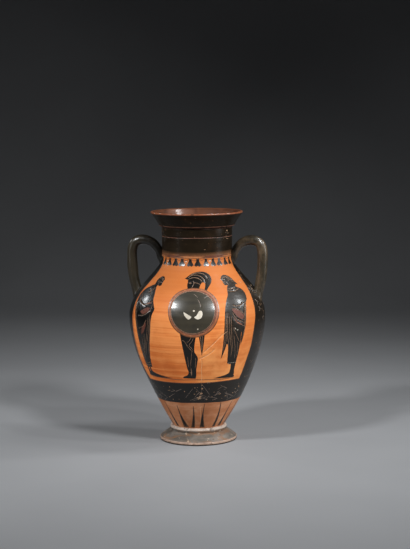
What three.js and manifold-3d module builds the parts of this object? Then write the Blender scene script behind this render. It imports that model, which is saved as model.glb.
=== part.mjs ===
// A black-figure panel amphora: one fired clay vessel, hollow and open at the mouth,
// with a spreading foot that is hollowed underneath and two handles from neck to shoulder.
// Millimetres, +Z up. The origin is on the wheel's axis, in the plane that the foot rests on.
// The handles lie along X and the front panel faces -Y.

import * as THREE from 'three';
import { mergeVertices } from 'three/addons/utils/BufferGeometryUtils.js';
import Module from 'manifold-3d';

// Driving dimensions: the heights stack up from the resting plane to the lip
const FOOT_HEIGHT = 12.8;
const FILLET_HEIGHT = 5.6;
const LOWER_BODY_HEIGHT = 134.5;
const SHOULDER_HEIGHT = 73.1;
const NECK_HEIGHT = 36.6;
const MOUTH_HEIGHT = 17.4;

// Driving dimensions: outside radii
const FOOT_RADIUS = 47;
const FOOT_WAIST_RADIUS = 33.6;
const FILLET_RADIUS = 34.6;
const STEM_RADIUS = 31.6;
const BELLY_RADIUS = 83.1;
const NECK_RADIUS = 42.8;
const MOUTH_BASE_RADIUS = 46.4;
const LIP_RADIUS = 56.6;

// Driving dimensions: walls, the foot's edge and the hollow under it
const BODY_WALL = 5;
const NECK_WALL = 4.6;
const MOUTH_WALL = 5;
const FLOOR_THICKNESS = 9;
const FLOOR_ROUND_HEIGHT = 9;
const FOOT_EDGE_HEIGHT = 3.2;
const FOOT_EDGE_ROUND = 1.2;
const RESTING_RING_WIDTH = 9.6;
const RECESS_DEPTH = 9.5;
const RECESS_WALL_RUN = 6;
const MOUTH_EDGE_ROUND = 1;
const LIP_ROUND = 1.3;

// Driving dimensions: handles
const HANDLE_THICKNESS = 12.4;
const HANDLE_NECK_THICKNESS = 8.4;
const HANDLE_TAPER_LENGTH = 46;
const HANDLE_REACH_FROM_NECK = 43.6;
const HANDLE_ROOT_BELOW_NECK_FOOT = 2.5;
const HANDLE_RISE = 21.4;
const HANDLE_FLARE_LENGTH = 20;
const NECK_ROOT_HALF_HEIGHT = 8.4;
const NECK_ROOT_HALF_WIDTH = 9;
const SHOULDER_ROOT_HALF_HEIGHT = 9.6;
const SHOULDER_ROOT_HALF_WIDTH = 13;

// Facets
const ROUND_SEGMENTS = 48;
const BODY_CURVE_STEPS = 10;
const SMALL_ROUND_STEPS = 3;
const HANDLE_SIDES = 10;
const HANDLE_STEPS = 18;

// Heights of the breaks between the stages
const FILLET_BASE_Z = FOOT_HEIGHT;
const STEM_Z = FILLET_BASE_Z + FILLET_HEIGHT;
const BELLY_Z = STEM_Z + LOWER_BODY_HEIGHT;
const NECK_FOOT_Z = BELLY_Z + SHOULDER_HEIGHT;
const MOUTH_BASE_Z = NECK_FOOT_Z + NECK_HEIGHT;
const LIP_Z = MOUTH_BASE_Z + MOUTH_HEIGHT;
const FLOOR_Z = RECESS_DEPTH + FLOOR_THICKNESS;

// The lower body swells from the stem to the belly, shares of its own height and swell
const STEM_SLOPE_RISE = 0.225;
const STEM_SLOPE_SWELL = 0.37;
const LOWER_BELLY_FULLNESS = 0.32;

// The shoulder turns from the upright neck to the upright belly, shares of its own height
const SHOULDER_TOP_STRAIGHT = 0.26;
const SHOULDER_BELLY_FULLNESS = 0.465;

// Where the lower handle root sits along the shoulder curve, from 0 at the neck to 1 at the belly
const SHOULDER_ROOT_PLACE = 0.69;

// How far each end of a handle's middle line runs on inside the wall from its root
const NECK_ROOT_SINK = new THREE.Vector2(-6.5, -9);
const SHOULDER_ROOT_SINK = new THREE.Vector2(-4.5, -12);

// The middle line between the roots, as shares of its reach from the neck and of its rise
const NECK_SIDE_OF_HANDLE = [[0.03, 0], [0.1, 0.35], [0.26, 0.73], [0.44, 0.93], [0.66, 1]];

// And as shares of its reach from the lower root and of its drop from the top to that root
const SHOULDER_SIDE_OF_HANDLE = [[0.88, 0.16], [1, 0.32], [0.93, 0.54], [0.62, 0.77], [0, 1]];

// The outer corner of the handle, where it turns from rise to drop
const HANDLE_CORNER = [0.88, 0.045];

// Shapes of the small mouldings, as shares of their own height and run
const FOOT_SLOPE_BULGE = 0.56;
const MOUTH_CURVE_FLARE = 0.25;
const MOUTH_CURVE_RISE = 0.4;
const LIP_TAPER = 1.4;
const FLOOR_FLATNESS = 0.8;
const NECK_TO_MOUTH_TURN = 0.3;
const NECK_TO_MOUTH_RISE = 0.3;

// How far past a face a cutting solid runs
const CUT_OVERRUN = 5;

const wasm = await Module();
wasm.setup();

function point(radius, z) {
  return new THREE.Vector2(radius, z);
}

function mix(a, b, share) {
  return a + (b - a) * share;
}

// Points along a curve, both ends included
function sample(curve, steps) {
  return curve.getPoints(steps);
}

// A quarter-like rounding between two points with the corner as its control point
function rounding(start, corner, end) {
  return sample(new THREE.QuadraticBezierCurve(start, corner, end), SMALL_ROUND_STEPS);
}

const lowerBody = new THREE.CubicBezierCurve(
  point(STEM_RADIUS, STEM_Z),
  point(
    mix(STEM_RADIUS, BELLY_RADIUS, STEM_SLOPE_SWELL),
    mix(STEM_Z, BELLY_Z, STEM_SLOPE_RISE),
  ),
  point(BELLY_RADIUS, mix(BELLY_Z, STEM_Z, LOWER_BELLY_FULLNESS)),
  point(BELLY_RADIUS, BELLY_Z),
);

const shoulder = new THREE.CubicBezierCurve(
  point(NECK_RADIUS, NECK_FOOT_Z),
  point(NECK_RADIUS, mix(NECK_FOOT_Z, BELLY_Z, SHOULDER_TOP_STRAIGHT)),
  point(BELLY_RADIUS, mix(BELLY_Z, NECK_FOOT_Z, SHOULDER_BELLY_FULLNESS)),
  point(BELLY_RADIUS, BELLY_Z),
);

// The outside of a curve moved inward by a wall, square to the curve
function insideOf(curve, steps, wallAt) {
  const points = [];
  for (let i = 0; i <= steps; i += 1) {
    const share = i / steps;
    const at = curve.getPoint(share);
    const along = curve.getTangent(share);
    const side = along.y < 0 ? 1 : -1;
    const wall = wallAt(share);
    points.push(point(at.x + side * along.y * wall, at.y - side * along.x * wall));
  }
  return points;
}

// The foot, from the middle of its hollow underside out to the waist under the fillet
function footProfile() {
  const ringOuter = FOOT_RADIUS - FOOT_EDGE_ROUND;
  const ringInner = ringOuter - RESTING_RING_WIDTH;
  const slopeStart = point(FOOT_RADIUS - FOOT_EDGE_ROUND / 2, FOOT_EDGE_HEIGHT + FOOT_EDGE_ROUND);
  return [
    point(0, RECESS_DEPTH),
    point(ringInner - RECESS_WALL_RUN, RECESS_DEPTH - FOOT_EDGE_ROUND),
    point(ringInner, 0),
    ...rounding(
      point(ringOuter, 0),
      point(FOOT_RADIUS, 0),
      point(FOOT_RADIUS, FOOT_EDGE_ROUND),
    ),
    point(FOOT_RADIUS, FOOT_EDGE_HEIGHT - FOOT_EDGE_ROUND / 2),
    slopeStart,
    point((slopeStart.x + FOOT_WAIST_RADIUS) / 2, mix(slopeStart.y, FOOT_HEIGHT, FOOT_SLOPE_BULGE)),
    point(FOOT_WAIST_RADIUS, FOOT_HEIGHT),
  ];
}

// The raised ring between foot and body, a rounded bead
function filletProfile() {
  const middle = (FILLET_BASE_Z + STEM_Z) / 2;
  return [
    ...rounding(
      point(FOOT_WAIST_RADIUS, FILLET_BASE_Z),
      point(FILLET_RADIUS, FILLET_BASE_Z),
      point(FILLET_RADIUS, middle),
    ).slice(1),
    ...rounding(
      point(FILLET_RADIUS, middle),
      point(FILLET_RADIUS, STEM_Z),
      point(STEM_RADIUS, STEM_Z),
    ).slice(1, -1),
  ];
}

// The outside of the flaring mouth, from its lower edge to the rounded lip
function mouthProfile() {
  const lowerEdge = point(MOUTH_BASE_RADIUS, MOUTH_BASE_Z + MOUTH_EDGE_ROUND);
  const lipStart = point(LIP_RADIUS - LIP_ROUND / 2, LIP_Z - LIP_ROUND * LIP_TAPER);
  const flareFrom = point(
    mix(MOUTH_BASE_RADIUS, LIP_RADIUS, MOUTH_CURVE_FLARE),
    mix(MOUTH_BASE_Z, LIP_Z, MOUTH_CURVE_RISE),
  );
  return [
    ...rounding(
      point(MOUTH_BASE_RADIUS - MOUTH_EDGE_ROUND, MOUTH_BASE_Z),
      point(MOUTH_BASE_RADIUS, MOUTH_BASE_Z),
      lowerEdge,
    ),
    ...rounding(lowerEdge, flareFrom, lipStart).slice(1),
    ...rounding(
      lipStart,
      point(LIP_RADIUS, LIP_Z),
      point(LIP_RADIUS - LIP_ROUND, LIP_Z),
    ).slice(1),
  ];
}

// The whole outside, closed on the axis below and above
function outsideProfile() {
  return [
    ...footProfile(),
    ...filletProfile(),
    ...sample(lowerBody, BODY_CURVE_STEPS),
    ...sample(shoulder, BODY_CURVE_STEPS).reverse().slice(1),
    point(NECK_RADIUS, MOUTH_BASE_Z),
    ...mouthProfile(),
    point(0, LIP_Z),
  ];
}

// The space inside, from the rounded floor up through neck and mouth and out at the top
function cavityProfile() {
  const bodyWall = () => BODY_WALL;
  const shoulderWall = (share) => mix(NECK_WALL, BODY_WALL, share);
  const bendStart = FLOOR_Z + FLOOR_ROUND_HEIGHT;
  const lower = insideOf(lowerBody, BODY_CURVE_STEPS, bodyWall).filter((p) => p.y > bendStart);
  const upper = insideOf(shoulder, BODY_CURVE_STEPS, shoulderWall).reverse().slice(1);
  const wallFoot = lower[0];
  const floor = sample(
    new THREE.QuadraticBezierCurve(
      point(0, FLOOR_Z),
      point(wallFoot.x * FLOOR_FLATNESS, FLOOR_Z),
      wallFoot,
    ),
    SMALL_ROUND_STEPS,
  ).slice(0, -1);
  return [
    ...floor,
    ...lower,
    ...upper,
    point(NECK_RADIUS - NECK_WALL, MOUTH_BASE_Z),
    point(
      mix(NECK_RADIUS - NECK_WALL, LIP_RADIUS - MOUTH_WALL, NECK_TO_MOUTH_TURN),
      mix(MOUTH_BASE_Z, LIP_Z, NECK_TO_MOUTH_RISE),
    ),
    point(LIP_RADIUS - MOUTH_WALL, LIP_Z - LIP_ROUND),
    point(LIP_RADIUS - MOUTH_WALL + LIP_ROUND, LIP_Z),
    point(LIP_RADIUS - MOUTH_WALL + LIP_ROUND, LIP_Z + CUT_OVERRUN),
    point(0, LIP_Z + CUT_OVERRUN),
  ];
}

function turned(profile) {
  const geometry = new THREE.LatheGeometry(profile, ROUND_SEGMENTS);
  geometry.rotateX(Math.PI / 2);
  return geometry;
}

// The middle line of the right handle, in the plane through the axis
function handleLine() {
  const rootZ = NECK_FOOT_Z - HANDLE_ROOT_BELOW_NECK_FOOT;
  const topZ = rootZ + HANDLE_RISE;
  const reach = NECK_RADIUS + HANDLE_REACH_FROM_NECK - HANDLE_THICKNESS / 2;
  const low = shoulder.getPoint(SHOULDER_ROOT_PLACE);
  const neckSide = NECK_SIDE_OF_HANDLE.map(
    ([out, up]) => point(mix(NECK_RADIUS, reach, out), mix(rootZ, topZ, up)),
  );
  const [cornerOut, cornerDown] = HANDLE_CORNER;
  const corner = point(mix(NECK_RADIUS, reach, cornerOut), mix(topZ, low.y, cornerDown));
  const shoulderSide = SHOULDER_SIDE_OF_HANDLE.map(
    ([out, down]) => point(mix(low.x, reach, out), mix(topZ, low.y, down)),
  );
  const line = [
    neckSide[0].clone().add(NECK_ROOT_SINK),
    ...neckSide,
    corner,
    ...shoulderSide,
    low.clone().add(SHOULDER_ROOT_SINK),
  ];
  return new THREE.CatmullRomCurve3(line.map((at) => new THREE.Vector3(at.x, 0, at.y)));
}

// A bar along a line in the XZ plane, thinner towards the neck and spreading smoothly at its
// two roots. Each ring lies square to the line, with its own half height in the plane and half
// width across it.
function bar(line) {
  const length = line.getLength();
  const sideways = new THREE.Vector3(0, 1, 0);
  const positions = [];
  const faces = [];
  const spread = (distance, size, rootSize) => {
    const share = Math.max(0, 1 - distance / HANDLE_FLARE_LENGTH);
    return mix(size, rootSize, share * share);
  };
  for (let i = 0; i <= HANDLE_STEPS; i += 1) {
    const share = i / HANDLE_STEPS;
    const centre = line.getPointAt(share);
    const inPlane = new THREE.Vector3().crossVectors(sideways, line.getTangentAt(share));
    const fromNeck = share * length;
    const fromShoulder = length - fromNeck;
    const taper = Math.min(1, fromNeck / HANDLE_TAPER_LENGTH);
    const size = mix(HANDLE_NECK_THICKNESS, HANDLE_THICKNESS, taper) / 2;
    const halfHeight = Math.max(
      spread(fromNeck, size, NECK_ROOT_HALF_HEIGHT),
      spread(fromShoulder, size, SHOULDER_ROOT_HALF_HEIGHT),
    );
    const halfWidth = Math.max(
      spread(fromNeck, HANDLE_THICKNESS / 2, NECK_ROOT_HALF_WIDTH),
      spread(fromShoulder, HANDLE_THICKNESS / 2, SHOULDER_ROOT_HALF_WIDTH),
    );
    for (let j = 0; j < HANDLE_SIDES; j += 1) {
      const angle = (j / HANDLE_SIDES) * Math.PI * 2;
      const at = centre.clone();
      at.addScaledVector(inPlane, halfHeight * Math.cos(angle));
      at.addScaledVector(sideways, halfWidth * Math.sin(angle));
      positions.push(at.x, at.y, at.z);
    }
  }
  const corner = (ring, side) => ring * HANDLE_SIDES + (side % HANDLE_SIDES);
  for (let i = 0; i < HANDLE_STEPS; i += 1) {
    for (let j = 0; j < HANDLE_SIDES; j += 1) {
      faces.push(corner(i, j), corner(i, j + 1), corner(i + 1, j + 1));
      faces.push(corner(i, j), corner(i + 1, j + 1), corner(i + 1, j));
    }
  }
  for (let j = 1; j < HANDLE_SIDES - 1; j += 1) {
    faces.push(corner(0, 0), corner(0, j + 1), corner(0, j));
    faces.push(corner(HANDLE_STEPS, 0), corner(HANDLE_STEPS, j), corner(HANDLE_STEPS, j + 1));
  }
  const geometry = new THREE.BufferGeometry();
  geometry.setAttribute('position', new THREE.Float32BufferAttribute(positions, 3));
  geometry.setIndex(faces);
  return geometry;
}

// A closed three.js geometry as a solid, its repeated points joined
function toSolid(geometry) {
  const bare = geometry.clone();
  bare.deleteAttribute('normal');
  bare.deleteAttribute('uv');
  const joined = mergeVertices(bare, 1e-4);
  const index = joined.index.array;
  const triangles = [];
  for (let i = 0; i < index.length; i += 3) {
    const [a, b, c] = [index[i], index[i + 1], index[i + 2]];
    if (a !== b && b !== c && c !== a) {
      triangles.push(a, b, c);
    }
  }
  return new wasm.Manifold(new wasm.Mesh({
    numProp: 3,
    vertProperties: new Float32Array(joined.attributes.position.array),
    triVerts: new Uint32Array(triangles),
  }));
}

function toGeometry(solid) {
  const mesh = solid.getMesh();
  const geometry = new THREE.BufferGeometry();
  geometry.setAttribute('position', new THREE.BufferAttribute(mesh.vertProperties, 3));
  geometry.setIndex(new THREE.BufferAttribute(mesh.triVerts, 1));
  geometry.computeVertexNormals();
  return geometry;
}

function amphoraGeometry() {
  const rightHandle = bar(handleLine());
  const leftHandle = rightHandle.clone().rotateZ(Math.PI);
  const solid = toSolid(turned(outsideProfile()))
    .add(toSolid(rightHandle))
    .add(toSolid(leftHandle))
    .subtract(toSolid(turned(cavityProfile())));
  return toGeometry(solid);
}

// Black gloss on fired clay, which covers most of the vessel
const glossedClay = new THREE.MeshStandardMaterial({
  name: 'glossed clay',
  color: 0x2a2119,
  roughness: 0.3,
  metalness: 0,
});

const amphora = new THREE.Mesh(amphoraGeometry(), glossedClay);
amphora.name = 'amphora';

const part = new THREE.Group();
part.add(amphora);

export default part;
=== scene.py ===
"""A black-figure panel amphora in fired clay, painted, incised and worn."""

import math
import random

import bmesh
import bpy
import numpy as np
from mathutils import Matrix, Vector, noise
from mathutils.geometry import delaunay_2d_cdt
from mathutils.kdtree import KDTree


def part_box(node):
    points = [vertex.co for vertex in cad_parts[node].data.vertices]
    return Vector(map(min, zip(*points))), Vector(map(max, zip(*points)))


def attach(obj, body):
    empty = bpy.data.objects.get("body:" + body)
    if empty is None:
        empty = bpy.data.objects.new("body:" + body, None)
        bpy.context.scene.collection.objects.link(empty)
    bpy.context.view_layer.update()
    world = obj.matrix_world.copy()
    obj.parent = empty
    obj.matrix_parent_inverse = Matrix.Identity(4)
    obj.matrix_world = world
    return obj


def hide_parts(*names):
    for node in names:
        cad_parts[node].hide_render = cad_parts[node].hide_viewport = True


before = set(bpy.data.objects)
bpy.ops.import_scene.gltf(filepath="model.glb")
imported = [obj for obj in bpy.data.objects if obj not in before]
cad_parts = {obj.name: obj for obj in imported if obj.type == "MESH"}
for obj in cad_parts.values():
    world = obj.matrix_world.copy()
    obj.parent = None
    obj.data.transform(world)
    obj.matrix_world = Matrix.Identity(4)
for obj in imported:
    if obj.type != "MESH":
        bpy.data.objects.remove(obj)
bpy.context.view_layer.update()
node_low, node_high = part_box("amphora")

# Stages of the vessel, millimetres, as in the solid
FOOT_HEIGHT = 12.8
FILLET_HEIGHT = 5.6
LOWER_BODY_HEIGHT = 134.5
SHOULDER_HEIGHT = 73.1
NECK_HEIGHT = 36.6
MOUTH_HEIGHT = 17.4
FOOT_RADIUS = 47.0
FOOT_WAIST_RADIUS = 33.6
FILLET_RADIUS = 34.6
STEM_RADIUS = 31.6
BELLY_RADIUS = 83.1
NECK_RADIUS = 42.8
MOUTH_BASE_RADIUS = 46.4
LIP_RADIUS = 56.6
BODY_WALL = 5.0
NECK_WALL = 4.6
MOUTH_WALL = 5.0
FOOT_EDGE_HEIGHT = 3.2
RESTING_RING_INNER = 36.2
RECESS_DEPTH = 9.5
FLOOR_THICKNESS = 9.0
HANDLE_THICKNESS = 12.4
HANDLE_NECK_THICKNESS = 8.4
HANDLE_TAPER_LENGTH = 46.0
HANDLE_REACH_FROM_NECK = 43.6
HANDLE_ROOT_BELOW_NECK_FOOT = 2.5
HANDLE_RISE = 21.4
HANDLE_FLARE_LENGTH = 20.0
NECK_ROOT_HALF_HEIGHT = 8.4
NECK_ROOT_HALF_WIDTH = 9.0
SHOULDER_ROOT_HALF_HEIGHT = 9.6
SHOULDER_ROOT_HALF_WIDTH = 13.0
SHOULDER_ROOT_PLACE = 0.69

STEM_Z = FOOT_HEIGHT + FILLET_HEIGHT
BELLY_Z = STEM_Z + LOWER_BODY_HEIGHT
NECK_FOOT_Z = BELLY_Z + SHOULDER_HEIGHT
MOUTH_BASE_Z = NECK_FOOT_Z + NECK_HEIGHT
LIP_Z = MOUTH_BASE_Z + MOUTH_HEIGHT
FLOOR_Z = RECESS_DEPTH + FLOOR_THICKNESS
HANDLE_REACH = NECK_RADIUS + HANDLE_REACH_FROM_NECK
HANDLE_ROOT_Z = NECK_FOOT_Z - HANDLE_ROOT_BELOW_NECK_FOOT
HANDLE_TOP_Z = HANDLE_ROOT_Z + HANDLE_RISE
METRES = (node_high.z - node_low.z) / LIP_Z

# What the hand leaves in the scene alone, millimetres
OVAL = 0.35
DENTS = 0.22
RIDGES = 0.05
LEAN = 1.2
MOUTH_TILT = 0.35
INCISED_DEPTH = 0.14
TURNED_LINE_DEPTH = 0.3
CHIP_DEPTH = 0.2
SCRATCH_DEPTH = 0.06
HANDLE_END_COVER = 2.4

# Mesh fineness
COLUMNS = 208
WALL_STEP = 2.5
LINE_STEP = 1.3
CLEAR_OF_LINES = 0.75
CLEAR_OF_SEAM = 0.5
HANDLE_SIDES = 28
HANDLE_STEPS = 56

# The unrolled wall starts and ends under the left handle
SEAM_DEG = -90.0
FULL_TURN = 2 * math.pi * BELLY_RADIUS
WALL_LEFT = math.radians(SEAM_DEG) * BELLY_RADIUS
WALL_RIGHT = WALL_LEFT + FULL_TURN

PAINTS = (
    "black_gloss",
    "shield_black",
    "reserved_clay",
    "pale_clay",
    "thin_gloss",
    "added_red",
    "shield_rim",
    "added_white",
    "incised_line",
    "turned_line",
    "scratch",
    "pale_crack",
    "ray_brown",
    "clay_chip",
    "worn_foot",
    "foot_edge",
    "foot_under_edge_shadow",
    "fillet",
    "lip_edge",
    "mouth_inside",
    "bare_clay",
    "handle_gloss",
)
PAINT = {name: index for index, name in enumerate(PAINTS)}


def mix(a, b, share):
    return a + (b - a) * share


# Profile


def bezier(p0, p1, p2, p3, steps=500):
    t = np.linspace(0.0, 1.0, steps)[:, None]
    p0, p1, p2, p3 = (np.array(p, float) for p in (p0, p1, p2, p3))
    u = 1 - t
    return u**3 * p0 + 3 * u * u * t * p1 + 3 * u * t * t * p2 + t**3 * p3


LOWER_BODY = bezier(
    (STEM_RADIUS, STEM_Z),
    (mix(STEM_RADIUS, BELLY_RADIUS, 0.37), mix(STEM_Z, BELLY_Z, 0.225)),
    (BELLY_RADIUS, mix(BELLY_Z, STEM_Z, 0.32)),
    (BELLY_RADIUS, BELLY_Z),
)
SHOULDER = bezier(
    (BELLY_RADIUS, BELLY_Z),
    (BELLY_RADIUS, mix(BELLY_Z, NECK_FOOT_Z, 0.465)),
    (NECK_RADIUS, mix(NECK_FOOT_Z, BELLY_Z, 0.26)),
    (NECK_RADIUS, NECK_FOOT_Z),
)
NECK = np.column_stack(
    [
        NECK_RADIUS + 0.4 * np.linspace(0, 1, 60) ** 3,
        np.linspace(NECK_FOOT_Z, MOUTH_BASE_Z, 60),
    ]
)
WALL = np.vstack([LOWER_BODY, SHOULDER[1:], NECK[1:]])
WALL_ARC = np.concatenate([[0.0], np.cumsum(np.hypot(*np.diff(WALL, axis=0).T))])
WALL_TOP = float(WALL_ARC[-1])
WALL_ALONG = np.gradient(WALL, WALL_ARC, axis=0)


def arc_at(z):
    """Arc length up the outside wall, from the stem, at a height."""
    return float(np.interp(z, WALL[:, 1], WALL_ARC))


def radius_at(arc):
    return np.interp(arc, WALL_ARC, WALL[:, 0])


def hand(angle, z):
    """How far the hand-thrown wall stands off a true round, outward, in millimetres."""
    high = np.clip(z / LIP_Z, 0, 1)
    oval = OVAL * high * np.sin(2 * angle + 0.7)
    dents = DENTS * np.sin(3 * angle + 0.03 * z + 2.0)
    ridges = RIDGES * np.sin(1.7 * z + angle) + RIDGES * np.sin(0.71 * z + 2 * angle)
    lean = LEAN * np.exp(-(((z - 62) / 34) ** 2)) * np.sin(angle - math.radians(9))
    above_foot = np.clip((z - FOOT_HEIGHT) / 8, 0, 1)
    return oval + dents + ridges + above_foot * lean


def tilt(angle, z):
    """The small rise and fall of the mouth's plane, in millimetres."""
    share = np.clip((z - NECK_FOOT_Z) / (LIP_Z - NECK_FOOT_Z), 0, 1)
    return share * MOUTH_TILT * np.sin(angle + 1.1)


def to_space(angle, radius, z):
    """Points in metres from angles (0 faces -Y, a quarter turn faces +X), radii and heights."""
    angle, radius, z = (np.asarray(v, float) for v in (angle, radius, z))
    off = np.where(radius > 1, hand(angle, z), 0)
    reach = radius + off
    up = np.where(z > 0.5, z + tilt(angle, z), z)
    return np.column_stack([reach * np.sin(angle), -reach * np.cos(angle), up]) * METRES


# Drawing on the unrolled wall


def smooth(points, closed=False, spacing=LINE_STEP):
    """A curve through the points, evenly stepped. A point given twice running is a corner."""
    pts = [np.array(p, float) for p in points]
    count = len(pts)
    spans = count if closed else count - 1
    out = []
    for i in range(spans):
        if closed:
            a, b, c, d = (pts[(i + k) % count] for k in (-1, 0, 1, 2))
        else:
            a, b, c, d = (pts[min(max(i + k, 0), count - 1)] for k in (-1, 0, 1, 2))
        length = float(np.hypot(*(c - b)))
        if length < 1e-6:
            continue
        steps = max(1, math.ceil(length / spacing))
        for j in range(steps):
            t = j / steps
            out.append(
                0.5
                * (
                    2 * b
                    + (c - a) * t
                    + (2 * a - 5 * b + 4 * c - d) * t**2
                    + (3 * b - a - 3 * c + d) * t**3
                )
            )
    if not closed:
        out.append(pts[-1])
    return np.array(out)


def ring(centre, radius, spacing=LINE_STEP):
    steps = max(8, math.ceil(2 * math.pi * radius / spacing))
    angle = np.linspace(0, 2 * math.pi, steps, endpoint=False)
    return np.array(centre) + radius * np.column_stack([np.cos(angle), np.sin(angle)])


def ribbon(line, width, tapered=True):
    """The two sides of a stroke along a line, drawn to a point at both ends if tapered."""
    line = np.asarray(line, float)
    along = np.gradient(line, axis=0)
    along /= np.maximum(np.hypot(*along.T), 1e-9)[:, None]
    side = np.column_stack([-along[:, 1], along[:, 0]])
    share = np.linspace(0, 1, len(line))
    half = np.full(len(line), width / 2)
    if tapered:
        half = half * np.minimum(1, np.minimum(share, 1 - share) / 0.18 + 0.12)
    return line + side * half[:, None], line - side * half[:, None]


class Drawing:
    """Lines and painted areas on the unrolled wall: u across, arc length up, in millimetres."""

    def __init__(self):
        self.points = []
        self.dents = []
        self.edges = []
        self.areas = []

    def line(self, points, closed=False, dent=0.0):
        first = len(self.points)
        points = np.asarray(points, float)
        self.points.extend(points.tolist())
        self.dents.extend([dent] * len(points))
        last = len(self.points) - 1
        self.edges.extend((i, i + 1) for i in range(first, last))
        if closed:
            self.edges.append((last, first))

    def area(self, paint, loop):
        self.line(loop, closed=True)
        self.areas.append((PAINT[paint], np.asarray(loop, float)))

    def band(self, paint, low, high):
        """An area all round the wall between two lines from edge to edge of the unrolled wall."""
        self.line(low)
        self.line(high)
        self.areas.append((PAINT[paint], np.vstack([low, high[::-1]])))

    def stroke(self, paint, line, width, wall, depth=0.0, tapered=True):
        """A drawn stroke: wall turns its own flat millimetres into the unrolled wall's."""
        left, right = ribbon(line, width, tapered)
        self.area(paint, wall(np.vstack([left, right[::-1]])))
        if depth:
            self.line(wall(line[1:-1]), dent=depth)


drawing = Drawing()


def on_wall(centre_deg, ground_arc, flip=1):
    """Flat millimetres about a point on the wall, across and up, to the unrolled wall."""

    def place(points):
        points = np.asarray(points, float)
        arc = ground_arc + points[:, 1]
        angle = math.radians(centre_deg) + flip * points[:, 0] / radius_at(arc)
        return np.column_stack([angle * BELLY_RADIUS, arc])

    return place


def as_unrolled(points):
    """For strokes that are given on the unrolled wall already."""
    return points


def by_degrees(points):
    """Angle in degrees and height above the floor to the unrolled wall."""
    return np.array([(math.radians(a) * BELLY_RADIUS, arc_at(z)) for a, z in points])


def round_line(z, wobble, phase):
    """A line all round at about one height, wavering as a hand-held brush on the wheel does."""
    u = np.linspace(WALL_LEFT, WALL_RIGHT, COLUMNS + 1)
    angle = u / BELLY_RADIUS
    waver = np.sin(2 * angle + phase) + 0.6 * np.sin(5 * angle + 2 * phase)
    waver += 0.35 * np.sin(13 * angle + 3 * phase)
    return np.column_stack([u, arc_at(z) + wobble * waver])


# Zones of the vase, heights in millimetres
BAND_LOW_Z = 53.4
BAND_HIGH_Z = 79.0
GROUND_Z = 86.0
GROUND_ARC = arc_at(GROUND_Z)
BUD_BASE_Z = 217.2
BUD_HEIGHT = 10.2
# The line over the buds: paint, first and last degree, width. The neck's fade browns its black
LINE_OVER_BUDS = (
    ("added_red", -50, -17, 1.1),
    ("black_gloss", -17, 20, 1.5),
    ("added_red", 20, 58, 1.1),
)
RAY_COUNT = 18
RAY_BASE_Z = 19.6

FRONT_PANEL = (
    [(-57, 79.2)] * 2
    + [(-61.5, 90), (-63.6, 104), (-62.6, 120), (-61.8, 140), (-61.8, 156), (-63, 172)]
    + [(-63, 183), (-60, 196), (-58.2, 209), (-59.5, 218)]
    + [(-64, 227.4)] * 2
    + [(-40, 227.4), (-20, 227.6), (0, 227.8), (20, 227.8), (40, 227.5), (60, 227.2)]
    + [(82, 226.8)] * 2
    + [(80, 218), (77, 209), (74.5, 200), (72, 188), (68.5, 175), (66, 162), (64, 148)]
    + [(63, 135), (62.5, 122), (61, 110), (60, 100), (59, 90)]
    + [(57.5, 81.8)] * 2
    + [(40, 81.4), (20, 80.6), (0, 80), (-20, 79.6), (-40, 79.4)]
)
BACK_CENTRE = 180.0
BACK_PANEL = (
    [(BACK_CENTRE - 57, 80.5)] * 2
    + [(BACK_CENTRE - 60, 100), (BACK_CENTRE - 61, 140), (BACK_CENTRE - 62, 180)]
    + [(BACK_CENTRE - 64, 210)]
    + [(BACK_CENTRE - 66, 226.4)] * 2
    + [(BACK_CENTRE - 30, 227), (BACK_CENTRE, 226.8), (BACK_CENTRE + 30, 227.2)]
    + [(BACK_CENTRE + 65, 226.6)] * 2
    + [(BACK_CENTRE + 63, 210), (BACK_CENTRE + 61, 180), (BACK_CENTRE + 60, 140)]
    + [(BACK_CENTRE + 59, 100)]
    + [(BACK_CENTRE + 57, 81)] * 2
    + [(BACK_CENTRE + 20, 80.4), (BACK_CENTRE - 20, 80.8)]
)


def draw_zones():
    """The reserved ray zone, the fade under the neck and the two reserved panels."""
    foot_line = np.array([(WALL_LEFT, 0.0), (WALL_RIGHT, 0.0)])
    band_low = round_line(BAND_LOW_Z, 0.35, 0.4)
    drawing.line(band_low)
    drawing.areas.append((PAINT["pale_clay"], np.vstack([foot_line, band_low[::-1]])))
    drawing.band("thin_gloss", round_line(228.4, 0.3, 1.2), round_line(230.6, 0.4, 2.2))
    for outline in (FRONT_PANEL, BACK_PANEL):
        loop = smooth(by_degrees(outline), closed=True, spacing=2.0)
        drawing.area("reserved_clay", loop)
        closed = np.vstack([loop, loop[:1]])
        left, right = ribbon(closed, 0.9, tapered=False)
        drawing.line(left)
        drawing.line(right)
        drawing.areas.append((PAINT["thin_gloss"], np.vstack([left, right[::-1]])))


def draw_border_line():
    """A thin dark line inside the left edge of the front panel."""
    points = [(-60.6, 92), (-61.6, 104), (-60.7, 120), (-59.9, 140), (-59.9, 156), (-61, 172)]
    line = smooth(by_degrees(points + [(-61, 183)]))
    drawing.stroke("black_gloss", line, 1.0, as_unrolled)


def draw_neck_lines():
    """Two turned lines on the neck, where the clay shows reddish through the gloss."""
    for z, width, phase in ((250.2, 0.8, 0.3), (260.9, 0.7, 1.7)):
        low = round_line(z, 0.08, phase)
        high = low + np.array((0, width))
        drawing.band("turned_line", low, high)
        drawing.line(low + np.array((0, width / 2)), dent=TURNED_LINE_DEPTH)


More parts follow.
